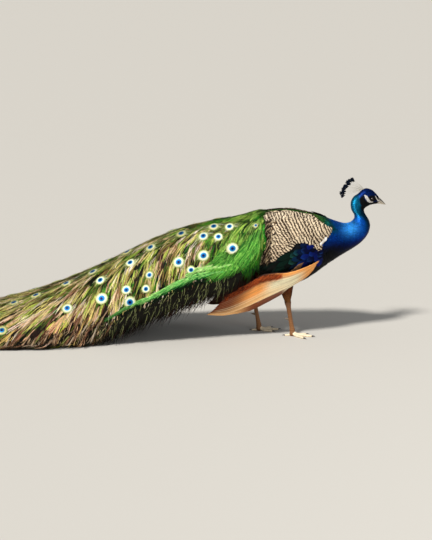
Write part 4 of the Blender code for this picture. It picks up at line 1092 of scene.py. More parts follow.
    low_obj = low.make("wing_" + side + "_barred_low", M_BARRED)
    # Dark secondaries behind them, and the pale-edged feathers under those.
    count = 8
    uu = np.linspace(0.46, 0.80, count)
    vv = np.linspace(0.34, 0.66, count)
    p, d, n, _, _ = cov.frame(uu, vv)
    c = mix(rgba(srgb(10, 12, 10), 0.4), rgba(srgb(6, 34, 26), 0.8), RNG.uniform(0, 1, count))
    vanes(blue, p + n * 0.0008, unit(d + np.array([0, 0, -0.12])), n, np.minimum(0.095, 0.045 + (1 - uu) * 0.16), 0.024, c, np.stack([uu, vv], -1), 12, 7, lift=0.02, bend=0.02, blunt=0.7, along0=RNG.uniform(0, 3, count), shade=edge_shade(12, 7, 0.8, 1.1, 0.6))
    count = 7
    uu = np.linspace(0.34, 0.66, count)
    vv = np.linspace(0.84, 0.97, count)
    p, d, n, _, _ = cov.frame(uu, vv)
    c = mix(rgba(srgb(132, 92, 56), 0.0), rgba(srgb(98, 88, 84), 0.0), RNG.uniform(0, 1, count))
    vanes(blue, p + n * 0.0020, unit(d + np.array([0, 0, -0.04])), n, 0.058, 0.013, c, np.stack([uu, vv], -1), 12, 5, lift=0.02, bend=0.01, blunt=0.7, along0=RNG.uniform(0, 3, count), shade=edge_shade(12, 5, 0.6, 1.1, 1.15))
    blue_obj = blue.make("wing_" + side + "_blue", M_LARGE)

    # Primaries: a stack of long blades, the lowest nearest the body.
    prim = Coat()
    nu, nv = 60, 13
    count = 11
    for i in range(count):
        u = np.linspace(0, 1, nu)
        v = np.linspace(-1, 1, nv)
        tip = 1.0 - 0.012 * i - 0.006 * (i % 2)
        up = (u * tip)[:, None] * np.ones((1, nv))
        mid = 0.925 - 0.086 * i
        wide = (0.115 + 0.04 * (i / count)) * (0.75 + 0.25 * step(0, 0.3, u)) * np.sqrt(np.clip(1 - (np.clip(u - 0.88, 0, 1) / 0.1201) ** 2.2, 0.01, 1))
        hang = (0.150 * step(0.34, 0.40, u) * (1 - step(0.60, 0.84, u))) if i == 0 else 0 * u
        vp = np.clip(mid + v[None] * wide[:, None] + 0.006 * np.sin(u * 5 + i)[:, None], -0.02, 1.02) + hang[:, None]
        up = up - 0.012 * (v[None] ** 2) * step(0.8, 1.0, u)[:, None]
        ragged = RNG.normal(0, 0.0007, (nu, nv)) * (np.abs(v)[None] ** 6)
        A_, B_ = along(PRIM_TOP, up), along(PRIM_LOW, up)
        xz = A_ * (1 - vp)[..., None] + B_ * vp[..., None]
        y = along(PRIM_Y, up)[..., 0] - 0.012 * np.abs(vp) ** 1.6 + (-0.0040 + 0.00088 * i) - 0.0015 * (v[None] ** 2)
        vv3 = np.stack([xz[..., 0] + ragged, s * y, xz[..., 1] + ragged], -1)
        U2, V2 = u[:, None] * np.ones((1, nv)), vp
        # Tan at the base, a pale middle that is a painted highlight, orange towards the tip; the maroon and near-black
        # along the upper edge and over the tip are painted shadow.
        c = mix(rgba(srgb(255, 176, 98), 0.0), rgba(srgb(255, 244, 204), 0.0), (step(0.16, 0.32, U2) * (1 - step(0.46, 0.62, U2)) * step(0.10, 0.40, V2)))
        c = mix(c, rgba(srgb(246, 158, 76), 0.0), step(0.46, 0.62, U2) * step(0.15, 0.40, V2))
        c = mix(c, rgba(srgb(246, 196, 134), 0.0), step(0.55, 0.80, V2) * step(0.30, 0.55, U2) * 0.75)
        c = mix(c, rgba(srgb(150, 64, 28), 0.0), step(0.30, 0.60, U2) * (1 - step(0.12, 0.42, V2)) * 0.85)
        c = mix(c, rgba(srgb(112, 34, 14), 0.0), step(0.64, 0.90, U2) * (1 - step(0.66, 0.98, V2)) * 0.92)
        c = mix(c, rgba(srgb(44, 16, 9), 0.0), step(0.40, 0.58, U2) * (1 - step(0.08, 0.30, V2)) * 0.92)
        c = mix(c, rgba(srgb(150, 76, 36), 0.0), (1 - step(0.0, 0.06, U2)) * 0.4)
        # A dark line along each blade's lower edge: painted shade in the gap under the next blade.
        blade_gap_shade = step(0.80, 0.97, v)[None, :] * np.ones((nu, 1))
        c = mix(c, rgba(srgb(92, 34, 16), 0.0), blade_gap_shade * (0.80 if i in (0, 1, 3, 4) else 0.16))
        c[..., :3] *= (1 + 0.22 * ripple(np.stack([U2 * 7 + i, V2 * 60 + 0 * U2, 0 * U2 + i], -1), 1.0))[..., None]
        pale_line = np.exp(-((v - 0.60) / 0.16) ** 2)[None, :] * step(0.25, 0.5, U2)
        c = mix(c, rgba(srgb(252, 226, 180), 0.0), pale_line * (0.65 if i in (1, 3, 4) else 0.15))
        c = mix(c, rgba(srgb(150, 68, 30), 0.0), 0.58 * step(0.25, 0.75, ripple(np.stack([U2 * 3.1 + i * 0.7, V2 * 26, 0 * U2 + i * 2.3], -1), 1.0)) * (1 - 0.6 * step(0.30, 0.5, U2)))
        c[..., :3] *= RNG.uniform(0.88, 1.08)
        if i == 0:
            c = mix(c, rgba(srgb(96, 28, 16), 0.0), (np.clip(hang / 0.150, 0, 1)[:, None] * np.ones((1, nv))) * 0.92)
            c = mix(c, rgba(srgb(236, 172, 128), 0.0), np.clip(hang / 0.150, 0, 1)[:, None] * step(0.82, 0.95, v)[None] * 0.85)
        length_cm = 42.0
        vane = np.stack([v[None] * 1.8 * np.ones((nu, 1)), u[:, None] * length_cm * np.ones((1, nv)) + i * 3.3], -1)
        bake = np.stack([0.05 + 0.085 * i + v[None] * 0.036 * np.ones((nu, 1)), 0.03 + 0.94 * u[:, None] * np.ones((1, nv))], -1)
        prim.add(vv3[None], grid_quads(nu, nv), c[None], bake[None], vane[None])
        # The side towards the body is painted dark brown: painted shade.
        inner = vv3[::2, ::3].copy()
        inner[..., 1] -= s * (0.0016 + 0.0010 * i)
        inner_shade = np.tile(rgba(srgb(62, 34, 22), 0.0), inner.shape[:2] + (1,))
        inner_shade[..., :3] *= RNG.uniform(0.75, 1.15)
        prim.add(inner[None], grid_quads(*inner.shape[:2]), inner_shade[None], bake[None, ::2, ::3], vane[None, ::2, ::3])
    prim_obj = prim.make("wing_" + side + "_flight", M_LARGE)
    # Ragged barbs along the upper edge of the stack.
    rag = Coat()
    m = 700
    u0 = RNG.uniform(0.38, 0.84, m)
    v0 = RNG.uniform(-0.02, 0.16, m) + 0.10 * step(0.6, 0.95, u0) * RNG.uniform(0, 1, m)
    A_, B_ = along(PRIM_TOP, u0), along(PRIM_LOW, u0)
    xz = A_ * (1 - v0)[:, None] + B_ * v0[:, None]
    y = along(PRIM_Y, u0)[:, 0] + 0.0050
    p = np.stack([xz[:, 0], s * y, xz[:, 1]], -1)
    ln = RNG.uniform(0.012, 0.030, m) * (1 - 0.45 * step(0.70, 0.84, u0))
    dd = unit(np.stack([-0.60 + 0 * u0, 0.03 * s + 0 * u0, -0.66 + 0 * u0], -1) + RNG.normal(0, 0.10, (m, 3)))
    uu = np.linspace(0, 1, 5)
    path = p[:, None] + dd[:, None] * (ln[:, None] * uu)[..., None] + np.array([-0.004, 0, 0.003]) * (uu ** 2)[None, :, None]
    c = mix(rgba(srgb(60, 16, 8), 0.0), rgba(srgb(206, 96, 44), 0.0), RNG.uniform(0, 1, m) ** 1.4)
    ribbons(rag, path, np.broadcast_to(np.array([0, s, 0.0]), path.shape), RNG.uniform(0.0008, 0.0015, m), np.broadcast_to(c[:, None], (m, 5, 4)).copy(), np.stack([u0, v0], -1))
    rag_obj = rag.make("wing_" + side + "_ragged", M_STRAND)

# ---------------------------------------------------------------- train
LOW_X = np.array([0.094, 0.115, 0.150, 0.220, 0.300, 0.400, 0.520, 0.650, 0.780, 0.900, 1.020, 1.150, 1.300, 1.450, 1.560, 1.620])
LOW_Z = np.array([0.400, 0.392, 0.380, 0.360, 0.342, 0.306, 0.250, 0.172, 0.102, 0.048, 0.020, 0.006, 0.0, 0.0, 0.0, 0.0])


def train_under(b, q):
    p = train_pos(-b, q, 0.008)
    rim = np.maximum(np.interp(b, -TRAIN[:, 0], TRAIN[:, 3]), 0)
    low = np.interp(b, LOW_X, LOW_Z)
    y = np.sin(np.clip(q, -1, 1) * math.pi / 2)
    p = p.copy()
    p[..., 2] = np.minimum(np.maximum(rim + 0.001 + (low - rim) * np.clip(1 - np.abs(y) ** 2.2, 0, 1) ** 0.75, 0.001), p[..., 2])
    return p


bb_, qq_ = np.meshgrid(np.linspace(0.096, 1.612, 190), np.linspace(-0.985, 0.985, 61), indexing="ij")
upper, lower = train_pos(-bb_, qq_, 0.007), train_under(bb_, qq_)
upper[..., 2] -= 0.004
upper[..., 2] = np.maximum(upper[..., 2], lower[..., 2] + 0.0008)
gq = grid_quads(190, 61)
half_n = 190 * 61
both = np.concatenate([upper.reshape(-1, 3), lower.reshape(-1, 3)])
edge_faces = []
for j in (0, 60):
    i = np.arange(189)
    a, b_ = i * 61 + j, (i + 1) * 61 + j
    edge_faces.append(np.stack([a, b_, b_ + half_n, a + half_n], -1))
for i in (0, 189):
    j = np.arange(60)
    a, b_ = i * 61 + j, i * 61 + j + 1
    edge_faces.append(np.stack([a, b_, b_ + half_n, a + half_n], -1))
# The bed shows only between the barbs and is painted dark, darkest towards the rims: painted shade between the barbs;
# its under side is painted near black as painted shade.
shade_b = mix(rgba(srgb(16, 44, 10), 0.3), rgba(srgb(26, 26, 12), 0.1), step(0.22, 0.42, bb_))
shade_b = mix(shade_b, rgba(srgb(40, 34, 20), 0.05), step(0.7, 1.2, bb_))
bed_rim_shade = step(0.72, 0.95, np.abs(qq_))
shade_b = mix(shade_b, rgba(srgb(8, 9, 5), 0.1), bed_rim_shade * 0.9)
under_shade_c = np.tile(rgba(srgb(16, 13, 9), 0.0), (half_n, 1))
O_MASS = build("train_bed", both, np.concatenate([gq, gq[:, ::-1] + half_n] + edge_faces), M_STRAND, np.concatenate([shade_b.reshape(-1, 4), under_shade_c]),
               {"Vane": np.concatenate([np.stack([qq_ * 20, bb_ * 100], -1).reshape(-1, 2)] * 2)})


def train_uv(b, q):
    return np.stack([0.5 + 0.45 * np.clip(q, -1.3, 1.3) / 1.3, 0.02 + 0.96 * b / 1.7], -1)


def flow(b, q, phi, L, nu, rise, tip_rise, curl=0.0, sag=0.0):
    """Paths over the train: phi is 0 backwards and 90 degrees towards the nearer rim."""
    s = np.where(q >= 0, 1.0, -1.0)
    b, q, pts, nrm = b.copy(), q.copy(), [], []
    phi = np.broadcast_to(phi, b.shape).astype(float)
    curl = np.broadcast_to(curl, b.shape).astype(float)
    for k in range(nu):
        u = k / (nu - 1)
        p, _, n, lu, lv = TRAIN_S.frame(b, q)
        h = rise * math.sin(math.pi * (0.12 + 0.76 * u)) + tip_rise * u * u
        pp = p + n * np.broadcast_to(h, b.shape)[:, None]
        pp[:, 2] -= sag * u * u
        pts.append(pp)
        nrm.append(n)
        ds = L / (nu - 1)
        a = phi + curl * u
        b = b + np.cos(a) * ds / np.maximum(lu, 0.2)
        q = q + s * np.sin(a) * ds / np.maximum(lv, 0.02)
    return np.stack(pts, 1), np.stack(nrm, 1)


def width_at(b):
    return np.interp(b, -TRAIN[:, 0], TRAIN[:, 2])


def scatter(n, b0, b1, q0, q1, weight=None):
    """Roots spread evenly over the train's own surface."""
    b = RNG.uniform(b0, b1, n * 3)
    w = width_at(b)
    keep = RNG.uniform(0, 0.24, len(b)) < w * (1.0 if weight is None else weight(b))
    b = b[keep][:n]
    return b, RNG.uniform(q0, q1, len(b))


# The green band of each flank: distance back, place across.
BAND = np.array([(0.190, 0.835), (0.226, 0.820), (0.280, 0.798), (0.328, 0.782), (0.397, 0.800), (0.448, 0.830), (0.484, 0.842), (0.517, 0.838), (0.560, 0.840), (0.620, 0.860), (0.70, 0.90)])
# Dark, middle and pale tones of loose barbs; the dark ones stand partly for shade between locks and the pale ones
# partly for highlights.
DARKS = np.array([rgba(srgb(22, 26, 9), 0.3), rgba(srgb(34, 22, 11), 0.1), rgba(srgb(13, 36, 11), 0.4), rgba(srgb(62, 38, 22), 0.1)])
MIDS = np.array([rgba(srgb(146, 122, 62), 0.15), rgba(srgb(104, 116, 36), 0.3), rgba(srgb(168, 118, 90), 0.05), rgba(srgb(82, 122, 34), 0.4), rgba(srgb(126, 84, 56), 0.1)])
LIGHTS = np.array([rgba(srgb(246, 212, 166), 0.05), rgba(srgb(236, 220, 130), 0.1), rgba(srgb(196, 214, 92), 0.25), rgba(srgb(255, 236, 214), 0.05)])


def band_at(b):
    return np.interp(b, BAND[:, 0], BAND[:, 1])


def below_band(b, q):
    """How far a place lies under the flank's green band, where the barbs are painted dark as painted shade."""
    return step(0.02, 0.08, np.abs(q) - band_at(b)) * (1 - step(0.62, 0.78, b)) * step(0.19, 0.22, b)


LEAN_Q = np.linspace(0, 1.2, 121)
LEAN_RUN = np.concatenate([[0], np.cumsum(np.diff(LEAN_Q) / np.tan(np.radians(12 + 56 * step(0.08, 0.50, LEAN_Q[1:]))))])


def streak(b, q):
    """Noise, about -1 to 1, drawn out along the way the barbs fall."""
    _, _, _, _, lv = TRAIN_S.frame(b, q)
    s = b - lv * np.interp(np.abs(q), LEAN_Q, LEAN_RUN)
    side = np.where(q >= 0, 3.0, 0.0)
    lane = step(0.50, 0.80, b) * (1 - step(0.48, 0.74, np.abs(q)))
    t = width_at(b) * 1.35 * np.abs(q) - 0.25 * b
    lanes = 0.55 * ripple(np.stack([t * 230 + side, b * 6, t * 61], -1), 1.0, 0.9) + 0.62 * ripple(np.stack([t * 560 + side, b * 15 + side, t * 140], -1), 1.0, 2.6)
    return lanes * lane + (1 - lane) * (0.26 * ripple(np.stack([s * 70 + side, np.abs(q) * 5 + b * 9, s * 31 + side], -1), 1.0, 0.4)
            + 0.50 * ripple(np.stack([s * 190 + side, np.abs(q) * 7 + b * 9, s * 80 + side], -1), 1.0, 1.7) + 0.74 * ripple(np.stack([s * 400 + side, np.abs(q) * 16 + side, b * 34], -1), 1.0, 4.1))


def palette(b, q, m):
    """Paint of loose barbs by place, in dark, middle and pale streaks; greener at the root and along the ridge. The
    dark streaks stand partly for shade between locks and the pale ones partly for highlights: painted shade and painted
    highlights over the barbs' own tones.
    """
    aq = np.abs(q)
    n = ripple(np.stack([b * 24, q * 7, 0 * b], -1), 1.0)
    ridge = (1 - step(0.10, 0.34, aq)) * (1 - step(0.70, 1.05, b))
    tone = streak(b, q) + 0.05 * RNG.normal(0, 1, m) - 0.06 * ridge - 0.06 * n
    low = below_band(b, q)
    tone = tone * (1 - low) - 0.9 * low
    tone = tone - 1.25 * step(0.66, 0.84, aq) * step(0.60, 0.72, b) - 0.16 * np.exp(-((b - 0.41) / 0.10) ** 2) * (1 - step(0.50, 0.65, aq)) - 0.17 * (1 - step(0.50, 0.60, b)) * step(0.2, 0.4, aq)
    wild = RNG.uniform(0, 1, m) < 0.06 * (1 - low)
    tone = np.where(wild, RNG.uniform(-0.2, 0.5, m), tone)
    c = np.where((tone < -0.01)[:, None], DARKS[RNG.choice(4, m, p=[0.34, 0.28, 0.22, 0.16])], MIDS[RNG.choice(5, m, p=[0.26, 0.22, 0.20, 0.18, 0.14])])
    c = np.where((tone > 0.26)[:, None], LIGHTS[RNG.choice(4, m, p=[0.32, 0.30, 0.22, 0.16])], c)
    share = np.clip((1 - step(0.20, 0.34, b + 0.04 * n)) + 0.40 * ridge + 0.22 * (1 - step(0.5, 1.3, b)) * (0.5 + 0.5 * n), 0, 1) * (1 - 0.85 * step(0.56, 0.68, b) * step(0.56, 0.72, aq))
    green = GREENS[RNG.choice(len(GREENS), m, p=[0.30, 0.26, 0.16, 0.16, 0.12])]
    c = np.where(((RNG.uniform(0, 1, m) < share) & (tone > -0.20))[:, None], green, c).copy()
    c[:, :3] = mix(c[:, :3], c[:, :3] * np.array([1.10, 0.84, 0.82]), 0.9 * np.maximum(step(0.80, 1.05, b) * step(0.30, 0.62, aq + 0.10 * n), step(0.58, 0.72, b) * step(0.60, 0.76, aq + 0.08 * n)))
    c[:, :3] *= RNG.uniform(0.78, 1.22, (m, 1)) * np.where(tone < -0.01, 0.72 - 0.08 * step(0.5, 0.8, b), np.where(tone > 0.26, 1.12, 1.0))[:, None]
    return c


def lean(b, q):
    """How far barbs fall away from the feather's line, by place."""
    aq = np.abs(q)
    rear = step(0.52, 0.92, b)
    return np.radians((12 + 56 * step(0.08, 0.50, aq)) * (1 - rear) + (8 + 13 * step(0.08, 0.40, aq) + 27 * step(0.40, 0.84, aq)) * rear)


TRAIN_OBJS = []


def barbs(name, n, k, b0, b1, length, width, rise, q0=-1.0, q1=1.0, tint=None, spread=0.17, nu=4, phi=None, gather=(0.012, 0.0022), mat=None):
    """Loose barbs in locks of k that share a root, a lean and a tone; pale ones lie over dark ones."""
    coat = Coat()
    b, q = scatter(n, b0, b1, q0, q1)
    m = len(b)
    c = palette(b, q, m) if tint is None else tint(b, q, m)
    ph = (lean(b, q) if phi is None else phi(b, q)) + RNG.normal(0, spread * 0.5, m) + spread * ripple(np.stack([b * 45, q * 14, 0 * b], -1), 1.0, 0.6)
    L = length * RNG.uniform(0.65, 1.25, m)
    turn = RNG.normal(0.14, 0.12, m) + 0.24 * ripple(np.stack([b * 30, q * 10, 0 * b], -1), 1.0, 5.0)
    light = np.clip(c[:, :3].mean(1) / 0.35, 0, 1)
    _, _, _, lu, lv = TRAIN_S.frame(b, q)
    # Barbs above the flank's green band end at it; those below it are short.
    room = (band_at(b) + 0.015 - np.abs(q)) * lv / np.maximum(np.sin(np.clip(ph, 0.15, 1.5)), 0.15)
    zone = (b < 0.62) & (b > 0.15) & (np.abs(q) > 0.3)
    L = np.where(zone, np.minimum(L, np.maximum(room, 0.016)), L)
    rep = lambda x: np.repeat(x, k, 0)
    M = m * k
    g1, g2 = RNG.normal(0, gather[0], M), RNG.normal(0, gather[1], M)
    cs, sn = np.cos(rep(ph)), np.sin(rep(ph))
    bb = rep(b) + g1 * cs - g2 * sn
    qq = rep(q) + rep(np.where(q >= 0, 1.0, -1.0)) * (g1 * sn + g2 * cs) / rep(np.maximum(lv, 0.05))
    cc = rep(c)
    cc[:, :3] *= RNG.uniform(0.78, 1.22, (M, 1))
    LL = np.minimum(rep(L) * RNG.uniform(0.72, 1.1, M), 0.02 + np.maximum(1.640 - bb, 0))
    bb = np.clip(bb, b0 - 0.02, 1.60)
    paths, nrm = flow(bb, qq, rep(ph) + RNG.normal(0, 0.05, M), LL, nu, rise * rep(0.66 + 0.36 * light) * RNG.uniform(0.65, 1.15, M), 0.0, curl=rep(turn) + RNG.normal(0, 0.07, M))
    u = np.linspace(0, 1, nu)
    col = np.broadcast_to(cc[:, None], (M, nu, 4)).copy()
    # Each barb is darker at its root: painted shade where the barbs above cover it.
    col[..., :3] *= (0.45 + 0.68 * u)[None, :, None]
    ribbons(coat, paths, nrm, width * RNG.uniform(0.7, 1.3, M), col, train_uv(bb, qq))
    o = coat.make(name, mat or M_STRAND)
    TRAIN_OBJS.append(o)
    return o


def follow(b0, off, sgn, L, nu, rise, droop):
    """Paths along the flank's green band."""
    b, pts, nrm = b0.copy(), [], []
    for k in range(nu):
        u = k / (nu - 1)
        q = sgn * np.minimum(band_at(b) + off + droop * u * u, 1.05)
        p, _, n, lu, lv = TRAIN_S.frame(b, q)
        pts.append(p + n * (rise * math.sin(math.pi * (0.15 + 0.72 * u)))[:, None] if np.ndim(rise) else p + n * (rise * math.sin(math.pi * (0.15 + 0.72 * u))))
        nrm.append(n)
        b = b + L / (nu - 1) / np.maximum(lu, 0.5)
    return np.stack(pts, 1), np.stack(nrm, 1)


# Scale-like feathers of the root.
root = Coat()
gb, gq2 = np.meshgrid(np.arange(0.094, 0.262, 0.0075), (np.arange(46) + 0.5) / 46 * 2 - 1, indexing="ij")
gb = gb + RNG.normal(0, 0.0016, gb.shape)
gq2 = gq2 + ((np.round(gb / 0.0075) % 2) * 0.5 / 23) + RNG.normal(0, 0.006, gq2.shape)
gb, gq2 = gb.ravel(), np.clip(gq2.ravel(), -0.99, 0.99)
p, d, n, lu, lv = TRAIN_S.frame(gb, gq2)
sidew = np.cross(n, d)
sgn = np.sign(gq2) * np.sign(sidew[:, 1] + 1e-9)
ph = np.radians(6 + 42 * step(0.25, 0.8, np.abs(gq2)))
d = d * np.cos(ph)[:, None] + sidew * (sgn * np.sin(ph))[:, None]
c = mix(rgba(srgb(84, 122, 34), 0.65), rgba(srgb(36, 128, 30), 0.65), step(0.25, 0.7, np.abs(gq2)))
gold = (RNG.uniform(0, 1, len(c)) < 0.30 * (1 - step(0.75, 0.9, np.abs(gq2)))) * 1.0
c = mix(c, rgba(srgb(178, 206, 92), 0.5), gold * 0.7)
c[:, :3] *= RNG.uniform(0.45, 1.30, (len(c), 1))
col = np.broadcast_to(c[:, None, None], (len(c), 6, 5, 4)).copy()
rim_dark = (step(0.55, 1.0, np.abs(np.linspace(-1, 1, 5)))[None, :] + step(0.72, 1.0, np.linspace(0, 1, 6))[:, None]).clip(0, 1)
col = mix(col, rgba(srgb(10, 30, 8), 0.4), (rim_dark * 0.8)[None])
vanes(root, p, d, n, 0.021 * RNG.uniform(0.85, 1.2, len(c)), 0.0125, col, train_uv(gb, gq2), 6, 5, lift=0.16, bend=0.08)
# Ragged scales start ahead of the root's edge and hide it.
m = 420
gq2 = RNG.uniform(-0.97, 0.97, m)
gb = RNG.uniform(0.094, 0.106, m)
p, d, n, lu, lv = TRAIN_S.frame(gb, gq2)
sidew = np.cross(n, d)
sgn = np.sign(gq2) * np.sign(sidew[:, 1] + 1e-9)
ph = np.radians(4 + 46 * step(0.20, 0.7, np.abs(gq2))) + RNG.normal(0, 0.14, m)
d = unit(d * np.cos(ph)[:, None] + sidew * (sgn * np.sin(ph))[:, None])
p = p - d * RNG.uniform(0.004, 0.015, m)[:, None] - n * RNG.uniform(-0.0005, 0.0025, m)[:, None]
c = mix(rgba(srgb(58, 96, 28), 0.65), rgba(srgb(30, 118, 26), 0.65), step(0.25, 0.7, np.abs(gq2)))
c = mix(c, rgba(srgb(176, 200, 96), 0.4), (RNG.uniform(0, 1, m) < 0.16) * 0.8)
c[:, :3] *= RNG.uniform(0.4, 1.35, (m, 1))
vanes(root, p, d, n, RNG.uniform(0.022, 0.034, m), RNG.uniform(0.008, 0.013, m), c, train_uv(gb, gq2), 6, 5, lift=0.10, bend=0.04, frayed=0.03, shade=edge_shade(6, 5, 0.5, 1.15, 0.5))
O_ROOT = root.make("train_scales", M_GLOSS)


def green_tint(b, q, m):
    c = GREENS[RNG.choice(len(GREENS), m, p=[0.30, 0.26, 0.10, 0.28, 0.06])].copy()
    c = mix(c, rgba(srgb(12, 26, 8), 0.3), ((ripple(np.stack([b * 95, q * 30, 0 * b], -1), 1.0) > -0.10 + 0.45 * step(0.34, 0.55, np.abs(q))) * (1 - step(0.55, 0.8, np.abs(q)))) * 0.85)
    c = mix(c, rgba(srgb(176, 214, 88), 0.3), ((RNG.uniform(0, 1, m) < 0.20 + 0.26 * ripple(np.stack([b * 60, q * 16, 0 * b], -1), 1.0, 3.0)) * (1 - step(0.62, 0.88, np.abs(q)))) * 0.9)
    c = mix(c, rgba(srgb(150, 206, 84), 0.35), 0.34 * step(0.40, 0.52, np.abs(q)) * (1 - step(0.62, 0.80, np.abs(q))) * RNG.uniform(0, 1, m) ** 0.5)
    n = streak(b, q)
    c = mix(c, rgba(srgb(14, 30, 8), 0.3), 0.88 * (1 - step(-0.36, 0.12 - 0.16 * step(0.3, 0.6, np.abs(q)), n)) * (1 - 0.45 * step(0.4, 0.6, np.abs(q))))
    c = mix(c, rgba(srgb(188, 224, 108), 0.3), 0.75 * step(0.14, 0.50, n) * (0.45 + 0.55 * step(0.25, 0.5, np.abs(q))) * (1 - step(0.78, 0.92, np.abs(q))))
    # Darker towards the rims: painted shade on the lower flank.
    deep = step(0.86, 1.0, np.abs(q))
    c = mix(c, rgba(srgb(10, 34, 8), 0.3), 0.75 * deep)
    c[:, :3] *= RNG.uniform(0.65, 1.42, (m, 1))
    return c


def side_lean(b, q):
    return np.radians(16 + 50 * step(0.1, 0.6, np.abs(q)))


barbs("train_root_barbs", 2500, 5, 0.100, 0.240, 0.036, 0.0013, 0.0055, tint=green_tint, phi=side_lean, spread=0.16, gather=(0.007, 0.0022))
barbs("train_barbs_front", 3500, 6, 0.205, 0.480, 0.050, 0.0015, 0.0075)
barbs("train_barbs_middle", 3900, 6, 0.430, 0.820, 0.058, 0.0016, 0.0085)
barbs("train_barbs_rear", 3700, 6, 0.780, 1.200, 0.074, 0.0017, 0.0080)
barbs("train_barbs_end", 2500, 6, 1.150, 1.600, 0.070, 0.0018, 0.0065)

# Green sickle feathers along the lower edge of each flank, in an upper pale and a lower vivid sweep.
sick = Coat()
for sgn in (-1.0, 1.0):
    for m, b0, b1, off, wide, tints, droop in ((1300, 0.196, 0.312, -0.056, 0.013, ((112, 206, 76), (226, 248, 170)), 0.022), (2300, 0.212, 0.590, 0.004, 0.0178, ((46, 176, 66), (190, 244, 140)), 0.012)):
        b = b0 + (b1 - b0) * RNG.uniform(0, 1, m) ** 0.85
        thin = 1 - 0.72 * step(0.34, 0.60, b)
        where = RNG.normal(0, 1, m).clip(-1.7, 1.7)
        L = 0.052 * RNG.uniform(0.5, 1.3, m)
        clump = ripple(np.stack([b * 150, where * 1.6, 0 * b + sgn], -1), 1.0, 2.2)
        c = mix(rgba(srgb(*tints[0]), 0.35), rgba(srgb(*tints[1]), 0.2), (RNG.uniform(0, 1, m) * (0.62 - 0.30 * where) + 0.45 * clump).clip(0, 1))
        c = mix(c, rgba(srgb(10, 46, 16), 0.4), ((RNG.uniform(0, 1, m) < 0.12 - 0.25 * clump) * 0.8))
        c = mix(c, rgba(srgb(6, 44, 14), 0.5), ((where > 1.0) * 0.65))
        c = mix(c, rgba(srgb(16, 84, 28), 0.5), 0.7 * step(0.47, 0.60, b))
        c[:, :3] *= RNG.uniform(0.55, 1.30, (m, 1))
        paths, nrm = follow(b, off + wide * where * thin + 0.008 * ripple(np.stack([b * 60, 0 * b + sgn, 0 * b], -1), 1.0), sgn, L, 6, 0.0098 + 0.0022 * RNG.uniform(0, 1, m) - 0.0012 * np.abs(where), droop + RNG.normal(0.0, 0.014, m))
        cc = np.broadcast_to(c[:, None], (m, 6, 4)).copy()
        # Darker at the root: painted shade where the barbs overlap.
        cc[..., :3] *= np.linspace(0.55, 1.20, 6)[None, :, None]
        ribbons(sick, paths, nrm, RNG.uniform(0.0013, 0.0024, m) * thin ** 0.5, cc, train_uv(b, sgn * band_at(b)))
# Long barbs of the root's flank bend back into the front of the band.
m = 1500
b = RNG.uniform(0.105, 0.250, m)
sgn = np.where(RNG.uniform(0, 1, m) < 0.5, 1.0, -1.0)
q = sgn * (band_at(b) - RNG.uniform(0.02, 0.24, m) - 0.10 * step(0.19, 0.12, b))
c = mix(rgba(srgb(34, 140, 40), 0.4), rgba(srgb(150, 222, 92), 0.3), RNG.uniform(0, 1, m) ** 1.3)
c = mix(c, rgba(srgb(12, 44, 12), 0.4), (RNG.uniform(0, 1, m) < 0.22) * 0.8)
c[:, :3] *= RNG.uniform(0.6, 1.25, (m, 1))
_, _, _, _, lv = TRAIN_S.frame(b, q)
drop = (band_at(b) + 0.03 - np.abs(q)) * lv
L = np.clip(drop * 1.9, 0.030, 0.085) * RNG.uniform(0.8, 1.15, m)
paths, nrm = flow(b, q, np.radians(72) + RNG.normal(0, 0.16, m), L, 9, 0.0105, 0.0015, curl=-np.radians(74) + RNG.normal(0, 0.16, m))
cc = np.broadcast_to(c[:, None], (m, 9, 4)).copy()
# Darker at the root: painted shade where the barbs overlap.
cc[..., :3] *= np.linspace(0.50, 1.20, 9)[None, :, None]
ribbons(sick, paths, nrm, RNG.uniform(0.0012, 0.0020, m), cc, train_uv(b, q))
# Short hooked barbs hang from its lower edge, painted near black and darker towards their tips: painted shade under the
# band.
m = 3600
b = RNG.uniform(0.20, 0.62, m)
sgn = np.where(RNG.uniform(0, 1, m) < 0.5, 1.0, -1.0)
q = sgn * (band_at(b) + RNG.uniform(0.0, 0.05, m))
c = mix(rgba(srgb(16, 62, 22), 0.3), rgba(srgb(5, 10, 4), 0.2), RNG.uniform(0, 1, m) ** 0.28)
c[:, :3] *= RNG.uniform(0.5, 1.3, (m, 1)) * (1 - 0.5 * step(0.40, 0.60, b))[:, None]
paths, nrm = flow(b, q, np.radians(70) + RNG.normal(0, 0.22, m), RNG.uniform(0.010, 0.028, m), 5, 0.0070, 0.0, curl=RNG.normal(-0.2, 0.4, m))
cc = np.broadcast_to(c[:, None], (m, 5, 4)).copy()
cc[..., :3] *= np.linspace(1.1, 0.45, 5)[None, :, None]
ribbons(sick, paths, nrm, RNG.uniform(0.0008, 0.0015, m), cc, train_uv(b, q))
O_SICKLE = sick.make("train_sickles", M_STRAND)

